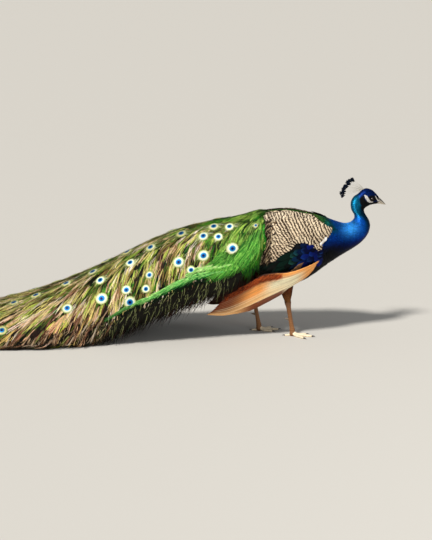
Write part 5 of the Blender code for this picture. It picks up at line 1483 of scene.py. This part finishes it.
# Fine loose barbs and long curved hairs that hang along the train's rims.
fringe = Coat()
for m, b0, b1, qa, qb, la, lb, wa, wb, pale, nn_, tone in ((2600, 0.60, 1.45, 0.82, 1.0, 0.025, 0.060, 0.0008, 0.0015, 0.20, 6, (196, 166, 128)), (3000, 0.17, 0.62, 0.88, 1.0, 0.024, 0.056, 0.0009, 0.0016, 0.03, 5, (96, 100, 56)), (190, 0.21, 0.66, 0.84, 0.97, 0.040, 0.075, 0.0007, 0.0011, 1.0, 9, (160, 166, 108))):
    b = RNG.uniform(b0, b1, m)
    q = np.where(RNG.uniform(0, 1, m) < 0.5, 1.0, -1.0) * RNG.uniform(qa, qb, m)
    # Most hairs are painted near black: painted shade along the rims; the rest are pale.
    c = mix(rgba(srgb(20, 18, 10), 0.1), rgba(srgb(*tone), 0.05), (RNG.uniform(0, 1, m) < pale) * 1.0)
    c[:, :3] *= RNG.uniform(0.45, 1.2, (m, 1))
    L = RNG.uniform(la, lb, m) * (1 - 0.3 * step(0.9, 1.4, b))
    turn = RNG.normal(0, 0.5, m) if nn_ < 9 else RNG.uniform(-1.3, 0.5, m)
    paths, nrm = flow(b, q, np.radians(62 if nn_ < 9 else 78) + RNG.normal(0, 0.26, m), L, nn_, 0.008, 0.002, curl=turn)
    paths[..., 2] = np.maximum(paths[..., 2], 0.0012)
    ribbons(fringe, paths, nrm, RNG.uniform(wa, wb, m), np.broadcast_to(c[:, None], (m, nn_, 4)).copy(), train_uv(b, q))
O_FRINGE = fringe.make("train_fringe", M_STRAND)

# Dark loose barbs hang from the under side in a deep curtain, most of it behind the rim; their near-black and dark red
# paint is painted shade under the train.
shade_curtain = Coat()
m = 7000
b = 0.175 + 0.68 * RNG.uniform(0, 1, m) ** 1.25
sgn = np.where(RNG.uniform(0, 1, m) < 0.5, 1.0, -1.0)
q = sgn * RNG.uniform(0.86, 1.0, m)
p0 = TRAIN_S.pos(b, q)
inward = RNG.uniform(0.002, 0.034, m) ** 1.0
p0[:, 1] -= sgn * inward
L = (0.070 + 0.018 * step(0.22, 0.44, b)) * RNG.uniform(0.55, 1.25, m)
nu = 6
u = np.linspace(0, 1, nu)
back = RNG.normal(0.22, 0.20, m)
side_w = RNG.normal(0, 0.16, m)
path = np.stack([p0[:, 0, None] - (L * back)[:, None] * u - (L * 0.25)[:, None] * u ** 2, p0[:, 1, None] + sgn[:, None] * (L * side_w)[:, None] * u, p0[:, 2, None] - L[:, None] * (u - 0.10 * u ** 3)], -1)
path += (ripple(np.stack([b * 90, 0 * b, 0 * b], -1), 1.0)[:, None] * 0.006 * u ** 2)[..., None] * np.array([1.0, 0, 0])
path[..., 2] = np.maximum(path[..., 2], 0.0012)
c = DARKS[RNG.choice(4, m, p=[0.34, 0.34, 0.16, 0.16])].copy()
c = mix(c, rgba(srgb(150, 150, 100), 0.05), (RNG.uniform(0, 1, m) < 0.025) * (inward < 0.012) * 0.9)
c = mix(c, rgba(srgb(84, 24, 12), 0.05), (RNG.uniform(0, 1, m) < 0.20 + 0.3 * step(0.34, 0.22, b)) * 0.8)
c[:, :3] *= RNG.uniform(0.12, 0.60, (m, 1))
out_n = np.stack([0 * b, sgn, 0.25 + 0 * b], -1)
ribbons(shade_curtain, path, np.broadcast_to(unit(out_n)[:, None], path.shape), RNG.uniform(0.0012, 0.0022, m), np.broadcast_to(c[:, None], (m, nu, 4)).copy(), train_uv(b, q))
O_SHADE_CURTAIN = shade_curtain.make("train_curtain", M_STRAND)

# Ragged brown and pale locks along the rear rims, with dark between them.
locks = Coat()
m, k = 270, 10
b = RNG.uniform(0.60, 1.50, m)
sgn = np.where(RNG.uniform(0, 1, m) < 0.5, 1.0, -1.0)
q = sgn * RNG.uniform(0.74, 1.0, m)
ph = np.radians(50) - 0.20 * step(0.9, 1.4, b) + RNG.normal(0, 0.18, m)
L = RNG.uniform(0.035, 0.070, m) * (1 - 0.25 * step(1.0, 1.4, b))
turn = RNG.normal(0.05, 0.30, m)
tone = np.array([rgba(srgb(206, 168, 132), 0.05), rgba(srgb(168, 122, 92), 0.05), rgba(srgb(228, 206, 176), 0.0), rgba(srgb(170, 172, 96), 0.2), rgba(srgb(112, 74, 50), 0.05)])[RNG.choice(5, m, p=[0.28, 0.26, 0.16, 0.14, 0.16])]
rep = lambda x: np.repeat(x, k, 0)
M_ = m * k
across = RNG.normal(0, 0.0026, M_)
back_ = RNG.normal(0, 0.005, M_)
_, _, _, lu, lv = TRAIN_S.frame(b, q)
bb = rep(b) + back_ * np.cos(rep(ph)) - across * np.sin(rep(ph))
qq = rep(q) + rep(sgn) * (back_ * np.sin(rep(ph)) + across * np.cos(rep(ph))) / rep(np.maximum(lv, 0.05))
bb = np.clip(bb, 0.55, 1.56)
paths, nrm = flow(bb, qq, rep(ph) - across * 40, np.minimum(rep(L) * RNG.uniform(0.7, 1.1, M_), 0.02 + np.maximum(1.62 - bb, 0)), 6, 0.0095, 0.004, curl=rep(turn) + RNG.normal(0, 0.08, M_))
paths[..., 2] = np.maximum(paths[..., 2], 0.0012)
cc = rep(tone)
cc[:, :3] *= RNG.uniform(0.55, 1.15, (M_, 1))
col = np.broadcast_to(cc[:, None], (M_, 6, 4)).copy()
# Darker at the root: painted shade within each lock.
col[..., :3] *= np.linspace(0.35, 1.15, 6)[None, :, None]
ribbons(locks, paths, nrm, RNG.uniform(0.0010, 0.0018, M_), col, train_uv(bb, qq))
O_LOCKS = locks.make("train_rim_locks", M_STRAND)


# ---------------------------------------------------------------- eyespots
# Distance back from the bird's zero, place across (negative is the right flank) and radius in metres.
SPOTS = [(0.202, -0.610, 0.0215), (0.301, -0.590, 0.0205), (0.385, -0.580, 0.0200), (0.343, -0.705, 0.0150), (0.301, -0.355, 0.0180), (0.250, -0.415, 0.0160),
         (0.265, -0.235, 0.0175), (0.211, -0.305, 0.0165), (0.376, -0.210, 0.0180), (0.122, -0.450, 0.0090), (0.481, -0.245, 0.0180), (0.550, -0.345, 0.0170),
         (0.484, -0.600, 0.0140), (0.562, -0.650, 0.0170), (0.496, -0.730, 0.0145), (0.550, -0.800, 0.0205), (0.646, -0.620, 0.0215), (0.652, -0.390, 0.0175),
         (0.682, -0.170, 0.0190), (0.775, -0.170, 0.0190), (0.763, -0.585, 0.0185), (0.880, -0.200, 0.0190)]
placed = [(b, q, r) for b, q, r in SPOTS]


def apart(b, q, r):
    w = width_at(b)
    y = math.sin(q * math.pi / 2) * w
    for b2, q2, r2 in placed:
        w2 = width_at(b2)
        arc = (q - q2) * 1.35 * (w + w2) / 2
        if math.hypot(b - b2, arc) < (r + r2) * 1.42 + 0.012 + 0.010 * (b > 0.9):
            return False
    return True


for b, q, r in SPOTS:                       # the left flank carries the like, a little shifted
    b2, q2 = b + float(RNG.normal(0, 0.008)), -q + float(RNG.normal(0, 0.02))
    if b2 < 0.62:
        q2 = min(q2, float(band_at(b2)) - 0.11)
    if abs(q) > 0.28 and apart(b2, q2, r):
        placed.append((b2, q2, r))
for tries in range(9000):
    b = float(RNG.uniform(0.24, 1.50))
    q = float(RNG.uniform(-0.86, 0.86))
    near_flank = q < -0.12 and b < 0.94
    if b < 0.66 and abs(q) > float(band_at(b)) - 0.12:
        continue
    if near_flank:
        continue
    if apart(b, q, 0.0185):
        placed.append((b, q, float(RNG.uniform(0.0165, 0.0205))))
print(len(placed), "eyespots")
SB, SQ, SR = (np.array(v) for v in zip(*placed))
p, d, n, _, _ = TRAIN_S.frame(SB, SQ)
sidew = np.cross(n, d)
ph = np.radians(8) * np.sign(SQ) + RNG.normal(0, 0.10, len(SB))
d = unit(d * np.cos(ph)[:, None] + sidew * (np.sin(ph) * np.sign(sidew[:, 1] + 1e-9))[:, None])
tilt = RNG.normal(0, 0.05, len(SB))
B3 = np.cross(n, d)
rings = np.array([0.0, 0.10, 0.20, 0.225, 0.30, 0.40, 0.485, 0.510, 0.56, 0.62, 0.74, 0.84, 0.875, 0.93, 1.0])
seg = 30


def wrap(b, q, D, B, X, Y, H):
    """Places X along D and Y along B from (b, q), kept H above the train's own surface, with its normals."""
    shape = np.broadcast_shapes(np.shape(X), np.shape(Y), np.shape(H))
    more = (slice(None),) + (None,) * (len(shape) - 1)
    e = 1e-3
    pb, pq = (TRAIN_S.pos(b + e, q) - TRAIN_S.pos(b - e, q)) / (2 * e), (TRAIN_S.pos(b, q + e) - TRAIN_S.pos(b, q - e)) / (2 * e)
    g11, g12, g22 = (pb * pb).sum(-1), (pb * pq).sum(-1), (pq * pq).sum(-1)
    det = g11 * g22 - g12 * g12
    out = []
    for vec in (D, B):
        r1, r2 = (vec * pb).sum(-1), (vec * pq).sum(-1)
        out.append(((g22 * r1 - g12 * r2) / det, (g11 * r2 - g12 * r1) / det))
    bb = b[more] + out[0][0][more] * X + out[1][0][more] * Y
    qq = np.clip(q[more] + out[0][1][more] * X + out[1][1][more] * Y, -0.995, 0.995)
    bb, qq = np.broadcast_to(bb, shape), np.broadcast_to(qq, shape)
    P, _, N, _, _ = TRAIN_S.frame(bb, qq)
    return P + N * np.broadcast_to(H, shape)[..., None], N


ang = np.arange(seg) * TAU / seg
R3, A3 = np.meshgrid(rings, ang, indexing="ij")
notch = 1 - 0.28 * np.exp(-(((A3 + math.pi) % TAU - math.pi) / 0.42) ** 2) * (R3 < 0.24)
rx = R3 * notch * (1.06 + 0.05 * np.cos(A3))
wav = 1 + 0.05 * np.sin(A3 * 13 + 1) * (R3 > 0.8) + 0.03 * np.sin(A3 * 29) * (R3 > 0.9)
lx, ly = rx * np.cos(A3) * wav, R3 * notch * np.sin(A3) * 0.96 * wav
lx = lx + 0.06 * (R3 < 0.3)
near_ring = np.array([rgba(srgb(8, 8, 40), 0.6), rgba(srgb(8, 8, 40), 0.6), rgba(srgb(10, 18, 80), 0.6), rgba(srgb(4, 72, 140), 0.6), rgba(srgb(6, 104, 180), 0.55),
                      rgba(srgb(22, 128, 188), 0.45), rgba(srgb(96, 176, 190), 0.3), rgba(srgb(206, 232, 214), 0.1), rgba(srgb(238, 243, 224), 0.0), rgba(srgb(242, 245, 224), 0.0),
                      rgba(srgb(232, 236, 204), 0.0), rgba(srgb(210, 218, 166), 0.05), rgba(srgb(184, 198, 128), 0.15), rgba(srgb(170, 186, 112), 0.2), rgba(srgb(128, 150, 76), 0.3)])
far_ring = np.array([rgba(srgb(8, 8, 40), 0.6), rgba(srgb(8, 8, 40), 0.6), rgba(srgb(10, 18, 80), 0.6), rgba(srgb(4, 64, 122), 0.7), rgba(srgb(8, 96, 158), 0.65),
                     rgba(srgb(24, 108, 128), 0.7), rgba(srgb(60, 118, 100), 0.6), rgba(srgb(132, 118, 62), 0.45), rgba(srgb(168, 150, 84), 0.35), rgba(srgb(188, 180, 108), 0.3),
                     rgba(srgb(192, 176, 104), 0.3), rgba(srgb(176, 182, 104), 0.3), rgba(srgb(140, 160, 82), 0.3), rgba(srgb(120, 146, 70), 0.3), rgba(srgb(98, 124, 52), 0.3)])
spots = Coat()
M = len(SB)
pale_eye = np.clip((1 - step(0.66, 1.00, SB)) * step(0.14, 0.44, np.abs(SQ)) + 0.24 + RNG.normal(0, 0.10, M), 0, 1) * np.where(SR < 0.012, 0.35, 1.0)
cols = (near_ring[None] * pale_eye[:, None, None] + far_ring[None] * (1 - pale_eye)[:, None, None])[:, :, None] * np.ones((1, 1, seg, 1))
copper = (0.5 + 0.5 * np.cos(ang - 0.3))[None, None, :, None] * ((R3 > 0.55) & (R3 < 0.86))[None, :, :, None] * (0.15 + 0.3 * (1 - pale_eye))[:, None, None, None]
cols = cols * (1 - copper) + rgba(srgb(200, 172, 108), 0.3) * copper
cols[..., :3] *= RNG.uniform(0.80, 1.05, (M, 1, 1, 1))
hover = 0.0095 + 0.0012 * RNG.uniform(0, 1, M)
dome = 0.05 * (1 - R3 ** 2)
V, _ = wrap(SB, SQ, d, B3, lx * SR[:, None, None], ly * SR[:, None, None], hover[:, None, None] + (dome - 0.11 * R3 ** 2) * SR[:, None, None])
V[..., 2] = np.maximum(V[..., 2], 0.002)
side_n = int(math.ceil(math.sqrt(M)))
cell = np.stack([(np.arange(M) % side_n + 0.5) / side_n, (np.arange(M) // side_n + 0.5) / side_n], -1)
bake = cell[:, None, None] + np.stack([lx, ly], -1)[None] * 0.40 / side_n
vane = np.stack([A3 * 2.2, R3 * 2.0], -1)[None] + np.arange(M)[:, None, None, None] * 1.7
spots.add(V, grid_quads(len(rings), seg, True), cols, bake, vane)
O_SPOTS = spots.make("train_eyespots", M_EYES)
# Barbs that run round each spot and trail behind it.
halo = Coat()
per = 60
aa3 = ((np.arange(per) + 0.5) / per * TAU)[None] + RNG.normal(0, 0.06, (M, per))
pick = RNG.choice(4, M * per, p=[0.46, 0.22, 0.22, 0.10])
uu = np.linspace(0, 1, 5)
high = 1 - step(0.30, 0.55, np.abs(SQ))
hx, hy = 0.40 + (0.55 + 0.45 * high)[:, None] * np.cos(aa3), 0.95 * np.sin(aa3)
hl = np.hypot(hx, hy)
hx, hy = hx / hl, hy / hl
ln = SR[:, None] * (0.34 + (0.25 + 1.0 * high[:, None]) * np.abs(np.cos(aa3)) ** 3 + RNG.uniform(-0.12, 0.15, (M, per)))
start = np.where(pick.reshape(M, per) % 2 == 1, RNG.uniform(0.93, 1.02, aa3.shape), RNG.uniform(0.62, 0.92, aa3.shape)) * SR[:, None]
X = (np.cos(aa3) * start)[..., None] + hx[..., None] * ln[..., None] * uu
Y = (np.sin(aa3) * start)[..., None] + hy[..., None] * ln[..., None] * (uu - 0.30 * uu ** 2)
H = hover[:, None, None] - 0.0050 * uu[None, None] + RNG.uniform(-0.0022, 0.0004, aa3.shape)[..., None]
path, nrm_h = wrap(SB, SQ, d, B3, X, Y, H)
path, nrm_h = path.reshape(-1, 5, 3), nrm_h.reshape(-1, 5, 3)
hc = np.array([rgba(srgb(178, 190, 112), 0.25), rgba(srgb(86, 126, 46), 0.4), rgba(srgb(234, 234, 200), 0.05), rgba(srgb(92, 78, 40), 0.2)])[pick]
hc[:, :3] *= RNG.uniform(0.70, 1.15, (M * per, 1)) * np.repeat(0.62 + 0.38 * pale_eye, per)[:, None]
hc = np.broadcast_to(hc[:, None], (M * per, 5, 4)).copy()
hc[..., :3] *= np.linspace(1.15, 0.60, 5)[None, :, None]
path[..., 2] = np.maximum(path[..., 2], 0.0012)
ribbons(halo, path, nrm_h, 0.0017, hc, np.repeat(train_uv(SB, SQ), per, 0) + RNG.uniform(-0.004, 0.004, (M * per, 2)))
# The feather ahead of each spot: a pale shaft with barbs along both sides.
ahead = np.minimum(RNG.uniform(0.12, 0.20, M), np.maximum(SB - 0.205, 0.0))
K = 30
f = (np.arange(K) + 0.5) / K
fb = SB[:, None] - ahead[:, None] * (1 - f)[None]
slant = np.radians(np.where(np.abs(SQ) > 0.25, 9.0, 3.0))
_, _, _, _, lv0 = TRAIN_S.frame(SB, SQ)
fq = SQ[:, None] * (1 - 0.0) - (np.sign(SQ) * np.tan(slant) / np.maximum(lv0, 0.1))[:, None] * (ahead[:, None] * (1 - f)[None])
keep = ((ahead > 0.03) & (np.abs(SQ) < 0.42))[:, None] & np.ones((1, K), bool)
tone = np.array([rgba(srgb(86, 110, 38), 0.4), rgba(srgb(120, 122, 58), 0.25), rgba(srgb(44, 84, 26), 0.45), rgba(srgb(150, 138, 84), 0.12), rgba(srgb(96, 74, 42), 0.15)])[RNG.choice(5, M, p=[0.28, 0.24, 0.22, 0.16, 0.10])]
for way in (-1.0, 1.0):
    bb = (fb + RNG.normal(0, 0.0015, fb.shape))[keep]
    qq = fq[keep]
    tn = np.repeat(tone[:, None], K, 1)[keep]
    ff = np.broadcast_to(f, fb.shape)[keep]
    mm = len(bb)
    sg = np.where(qq >= 0, 1.0, -1.0)
    droop = np.radians(16) * step(0.25, 0.6, np.abs(qq))
    phi = way * sg * (np.radians(34) + RNG.normal(0, 0.08, mm)) * sg + droop
    cc = np.broadcast_to(tn[:, None], (mm, 4, 4)).copy()
    cc[..., :3] *= (RNG.uniform(0.6, 1.35, (mm, 1)) * (1.0 if way > 0 else 0.8))[..., None] * np.linspace(0.75, 1.15, 4)[None, :, None]
    paths, nrm = flow(bb, qq, phi, (0.016 + 0.024 * ff) * RNG.uniform(0.8, 1.2, mm), 4, 0.0085, 0.0, curl=0.1)
    ribbons(halo, paths, nrm, RNG.uniform(0.0013, 0.0021, mm), cc, train_uv(bb, qq))
ok = (ahead > 0.05) & (np.abs(SQ) < 0.50)
fu = np.linspace(0, 1, 9)
sp_b = SB[ok][:, None] - ahead[ok][:, None] * (1 - fu)[None]
sp_q = SQ[ok][:, None] - (np.sign(SQ) * np.tan(slant) / np.maximum(lv0, 0.1))[ok][:, None] * (ahead[ok][:, None] * (1 - fu)[None])
sp, _, sn, _, _ = TRAIN_S.frame(sp_b, sp_q)
sc_ = np.broadcast_to(rgba(srgb(206, 200, 156), 0.0), sp.shape[:2] + (4,)).copy()
sc_[..., :3] *= RNG.uniform(0.10, 0.55, (len(sp), 1, 1))
ribbons(halo, sp + sn * 0.0088, sn, 0.0011, sc_, train_uv(SB[ok], SQ[ok]))
O_HALO = halo.make("train_halos", M_STRAND)

# Loose hairs stand off the ridge.
wisps = Coat()
m = 2400
b = RNG.uniform(0.30, 1.50, m)
q = RNG.normal(0, 0.20, m).clip(-0.6, 0.6)
near = (np.hypot((b + 0.018)[:, None] - SB[None], (q[:, None] - SQ[None]) * 1.35 * width_at(b)[:, None]) < 0.042).any(1)
b, q = b[~near], q[~near]
m = len(b)
L = RNG.uniform(0.016, 0.036, m)
L = np.minimum(L, 0.01 + np.maximum(1.60 - b, 0))
paths, nrm = flow(b, q, np.radians(14) + RNG.normal(0, 0.35, m), L, 6, 0.009, RNG.uniform(0.002, 0.012, m), curl=RNG.normal(0, 0.4, m))
c = np.concatenate([MIDS, LIGHTS[:3]])[RNG.choice(8, m)].copy()
c[:, :3] *= RNG.uniform(0.4, 0.95, (m, 1))
ribbons(wisps, paths, nrm, RNG.uniform(0.0008, 0.0013, m), np.broadcast_to(c[:, None], (m, 6, 4)).copy(), train_uv(b, q))
O_WISPS = wisps.make("train_wisps", M_STRAND)

# ---------------------------------------------------------------- stiff tail under the train
tail = Coat()
count = 18
root_p, tip_p = np.array([-0.284, 0, 0.335]), np.array([-0.640, 0, 0.158])
for i in range(count):
    f = (i / (count - 1)) * 2 - 1
    nu, nv = 20, 5
    u, v = np.linspace(0, 1, nu)[:, None], np.linspace(-1, 1, nv)[None]
    ln = 1.0 - 0.085 * f * f
    x = root_p[0] + (tip_p[0] - root_p[0]) * u * ln
    z = root_p[2] + (tip_p[2] - root_p[2]) * u * ln - 0.012 * np.sin(math.pi * u)
    yc = f * (0.014 + 0.050 * u ** 0.8)
    half = 0.013 * (0.5 + 0.5 * step(0, 0.3, u)) * np.sqrt(np.clip(1 - (np.clip(u - 0.9, 0, 1) / 0.101) ** 2, 0.02, 1))
    y = yc + v * half
    zz = z - 0.016 * u * f * f - 0.0020 - 0.0002 * i * 0 + 0.0005 * (i % 2) - 0.001 * v * v
    Vv = np.stack(np.broadcast_arrays(x + 0 * v, y, zz), -1)
    # Dark brown, darkened further as painted shade under the train.
    c = np.broadcast_to(rgba(srgb(28, 16, 11), 0.0) * np.array([1, 1, 1, 1]), (nu, nv, 4)).copy()
    c[..., :3] *= RNG.uniform(0.8, 1.15)
    tail.add(Vv[None], grid_quads(nu, nv), c[None], np.stack(np.broadcast_arrays(0.05 + i * 0.05 + 0.02 * v, 0.05 + 0.9 * u), -1)[None], np.stack(np.broadcast_arrays(v * 1.3 + 0 * u, u * 36 + i * 2.7 + 0 * v), -1)[None])
O_TAIL = tail.make("tail_fan", M_LARGE)

# ---------------------------------------------------------------- legs
# Shank skin, darker towards the hock; it is painted darker than the skin is, as painted shade.
LEG_SKIN = rgba(srgb(142, 94, 50), 0.0)
LEG_DARK = rgba(srgb(92, 52, 24), 0.0)
LEG_OBJ = {}
TOES = (("middle", 0, 0.066, 0.0062, 0.011), ("inner", -30, 0.048, 0.0056, 0.010), ("outer", 33, 0.052, 0.0056, 0.010), ("hind", 172, 0.022, 0.0043, 0.0105))


def scutes(n_rings, n, count, front, depth):
    """Radii that step like overlapping plates on the front of a leg or toe."""
    u = np.linspace(0, 1, n_rings)[:, None]
    a = np.arange(n)[None] * TAU / n
    face = np.clip(np.cos(a - front), 0, 1) ** 0.6
    saw = (u * count) % 1.0
    net = np.sin(a * 7 + np.floor(u * count * 1.6) * 1.57) * np.sin(u * count * 1.6 * TAU) * 0.35
    return depth * (face * (saw - 0.5) + (1 - face) * net)


for side, leg in LEGS.items():
    out = 1 if side == "left" else -1
    ax, ay = leg["ankle"]
    hock, hip = np.array(leg["hock"]), np.array(leg["hip"])
    ankle = np.array([ax, ay, 0.021])
    d = ankle - hock
    f = np.linspace(-0.05, 1.11, 120)
    r = np.interp(f, [-0.05, 0.0, 0.05, 0.10, 0.20, 0.42, 0.70, 0.86, 0.94, 1.0, 1.11], [0.0070, 0.0098, 0.0104, 0.0094, 0.0076, 0.0067, 0.0066, 0.0072, 0.0080, 0.0086, 0.0080])
    n = 24
    rr = r[:, None] * (1 + 0 * np.arange(n))[None] * (1 + 0.10 * np.cos(2 * np.arange(n) * TAU / n)[None] * -1) + scutes(120, n, 19, math.pi / 2 * 1, 0.0011)
    path = hock + d * np.minimum(f, 1.0)[:, None]
    path[:, 2] -= (np.maximum(f - 1.0, 0) / 0.11) * 0.0105
    ring = tube(path, rr, n)
    pieces, colours = [capped(ring)], []
    tone = step(0.0, 1.0, f)
    # Each plate is darker where it starts under the edge of the plate above: painted shade.
    saw = ((f - f[0]) / (f[-1] - f[0]) * 19) % 1.0
    shade = 0.80 + 0.32 * step(0.05, 0.5, saw)
    cc = mix(LEG_DARK, LEG_SKIN, 0.35 + 0.5 * tone)[:, None] * np.ones((1, n, 1))
    cc[..., :3] *= shade[:, None, None]
    colours.append(np.concatenate([cc[:1], cc, cc[-1:]]).reshape(-1, 4))
    # ankle pad
    zf = np.linspace(-1, 1.15, 14)
    pad_r = np.interp(zf, [-1.0, -0.55, 0.0, 0.55, 1.15], [0.0056, 0.0086, 0.0098, 0.0092, 0.0080])
    pc = np.stack([ax + 0 * zf, ay + 0 * zf, np.maximum(0.0002, 0.0078 + zf * 0.0078)], -1)
    pr = np.stack([np.stack([pc[k, 0] + pad_r[k] * np.cos(np.arange(n) * TAU / n), pc[k, 1] + pad_r[k] * np.sin(np.arange(n) * TAU / n), np.full(n, pc[k, 2])], -1) for k in range(14)])
    pieces.append(capped(pr))
    colours.append(np.tile(LEG_SKIN * np.array([0.85, 0.85, 0.85, 1]), (16 * n, 1)))
    h = math.radians(leg["heading"])
    claws = []
    for nm, deg_, ln, r0, rise in TOES:
        a = h + math.radians(deg_ * out)
        dd = np.array([math.cos(a), math.sin(a), 0])
        root_t = np.array([ax, ay, 0]) + dd * 0.0035
        f = np.linspace(0, 1, 64)
        z = r0 * 0.80 * (1 - 0.30 * f) + (rise - r0 * 0.8) * np.maximum(0, 1 - f / 0.42) ** 1.6
        path = root_t + dd * (ln * f)[:, None]
        path[:, 2] = z
        radii = r0 * (1 - 0.34 * f) * (1 + 0.10 * np.cos(f * math.pi * 5))
        rr = radii[:, None] * np.ones(18)[None] + scutes(64, 18, max(5, int(ln / 0.0042)), math.pi / 2, 0.0008)
        pieces.append(capped(tube(path, rr, 18, floor=0.0001)))
        saw = (f * max(5, int(ln / 0.0042))) % 1.0
        # Toes painted pale, partly their own pale grey-brown and partly painted light; each plate is darker where it
        # starts, as painted shade.
        cc = np.tile(rgba(srgb(240, 222, 190), 0.0), (64, 18, 1))
        cc[..., :3] *= (0.80 + 0.30 * step(0.05, 0.5, saw))[:, None, None]
        colours.append(np.concatenate([cc[:1], cc, cc[-1:]]).reshape(-1, 4))
        tip, rt = path[-1], radii[-1]
        cf = np.linspace(-0.12, 1, 22)
        cl = 0.012 * (0.75 if nm == "hind" else 1.0)
        cp = tip + dd * (0.0008 + cl * cf)[:, None]
        cp[:, 2] = tip[2] + rt * 0.30 * np.sin(np.clip(cf, 0, 1) * math.pi * 0.9) - (tip[2] - 0.0012) * np.clip(cf, 0, 1) ** 2.2
        cr = np.maximum(0.0005, rt * 0.74 * (1 - np.clip(cf, 0, 1)) ** 0.8)
        claws.append((nm, capped(tube(cp, cr, 14, floor=0.0001))))
    v, q = join(pieces)
    leg_obj = build("leg_skin_" + side, v, q, M_LEG, np.concatenate(colours))
    cv, cq = join([c for _, c in claws])
    claw_obj = build("claw_set_" + side, cv, cq, M_HORN, np.tile(rgba(srgb(62, 52, 44), 0.0), (len(cv), 1)))
    sp = hock + d * 0.62 + np.array([-0.0060, 0, 0])
    back = unit(np.array([-1, (0.25 if side == "left" else -0.25) * -1, 0.12]))
    sf = np.linspace(0, 1, 14)
    sv, sq = capped(tube(sp + back * (0.017 * sf)[:, None] + np.array([0, 0, 0.0022]) * (sf ** 2)[:, None], np.interp(sf, [0, 0.15, 0.4, 0.7, 1], [0.0052, 0.0042, 0.0029, 0.0017, 0.0005]), 14))
    spur_obj = build("spur_horn_" + side, sv, sq, M_HORN, np.tile(rgba(srgb(112, 96, 78), 0.0), (len(sv), 1)))
    LEG_OBJ[side] = (leg_obj, claw_obj, spur_obj)

# ---------------------------------------------------------------- what stands for what
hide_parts("head", "neck_upper", "neck_lower", "breast", "trunk", "thigh_left", "thigh_right")
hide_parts("bill_upper")
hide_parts("bill_lower")
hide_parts("crest")
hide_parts("train_root", "train_front", "train_middle", "train_rear", "train_end")
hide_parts("tail")
for side in ("left", "right"):
    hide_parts("eye_" + side)
    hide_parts("wing_%s_shoulder" % side)
    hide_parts("wing_%s_coverts" % side)
    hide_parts("wing_%s_primaries" % side)
    leg_obj, claw_obj, spur_obj = LEG_OBJ[side]
    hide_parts("shank_" + side, "foot_" + side)
    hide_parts(*["claw_%s_%s" % (side, t[0]) for t in TOES])
    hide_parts("spur_" + side)
for o in list(bpy.data.objects):
    if o.type != "MESH" or "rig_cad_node" in o:
        continue
    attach(o, "root")

# ---------------------------------------------------------------- floor, light and camera
fv = np.array([(-90, -60, 0), (-90, 160, 0), (90, -60, 0), (90, 160, 0)], float)
M_FLOOR = bpy.data.materials.new("floor_pale")
M_FLOOR.use_nodes = True
pb = M_FLOOR.node_tree.nodes["Principled BSDF"]
pb.inputs["Base Color"].default_value = (0.62, 0.595, 0.55, 1)
pb.inputs["Roughness"].default_value = 0.95
pb.inputs["Specular IOR Level"].default_value = 0.05
floor = build("floor", fv - SHIFT, grid_quads(2, 2)[:, ::-1], M_FLOOR)
floor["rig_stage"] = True

world = bpy.data.worlds.new("studio")
bpy.context.scene.world = world
world.use_nodes = True
world.node_tree.nodes["Background"].inputs["Color"].default_value = (0.94, 0.97, 1.0, 1)
world.node_tree.nodes["Background"].inputs["Strength"].default_value = 0.27


def lamp(kind, name, at, aim, power, tint=(1, 1, 1), **kw):
    data = bpy.data.lights.new(name, kind)
    data.energy, data.color = power, tint
    for key, value in kw.items():
        setattr(data, key, value)
    o = bpy.data.objects.new(name, data)
    bpy.context.scene.collection.objects.link(o)
    o.location = Vector(at) + Vector(SHIFT)
    o.rotation_euler = (Vector(aim) - Vector(at)).to_track_quat("-Z", "Y").to_euler()
    return o


lamp("SUN", "key", (-1.9, -2.6, 4.2), (-0.2, 0, 0.2), 3.5, (1.0, 0.975, 0.93), angle=0.16)
lamp("AREA", "fill", (2.4, -3.0, 1.6), (-0.1, 0, 0.25), 26, (0.95, 0.98, 1.0), shape="DISK", size=2.0)

ELEV, DIST = math.radians(12.0), 4.8
target = Vector((-0.259, 0, 0.225)) + Vector(SHIFT)
cam = bpy.data.cameras.new("camera")
cam.sensor_width, cam.lens = 36.0, 1371 * 36.0 / 540
cam_obj = bpy.data.objects.new("camera", cam)
bpy.context.scene.collection.objects.link(cam_obj)
cam_obj.location = target + Vector((0, -math.cos(ELEV), math.sin(ELEV))) * DIST
cam_obj.rotation_euler = (target - cam_obj.location).to_track_quat("-Z", "Y").to_euler()
bpy.context.scene.camera = cam_obj
bpy.context.scene.view_settings.view_transform = "Standard"
bpy.context.scene.view_settings.look = "None"

bpy.context.view_layer.update()
total = sum(len(p.vertices) - 2 for o in bpy.data.objects if o.type == "MESH" and not o.hide_render and "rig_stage" not in o for p in o.data.polygons)
print("total triangles", total)
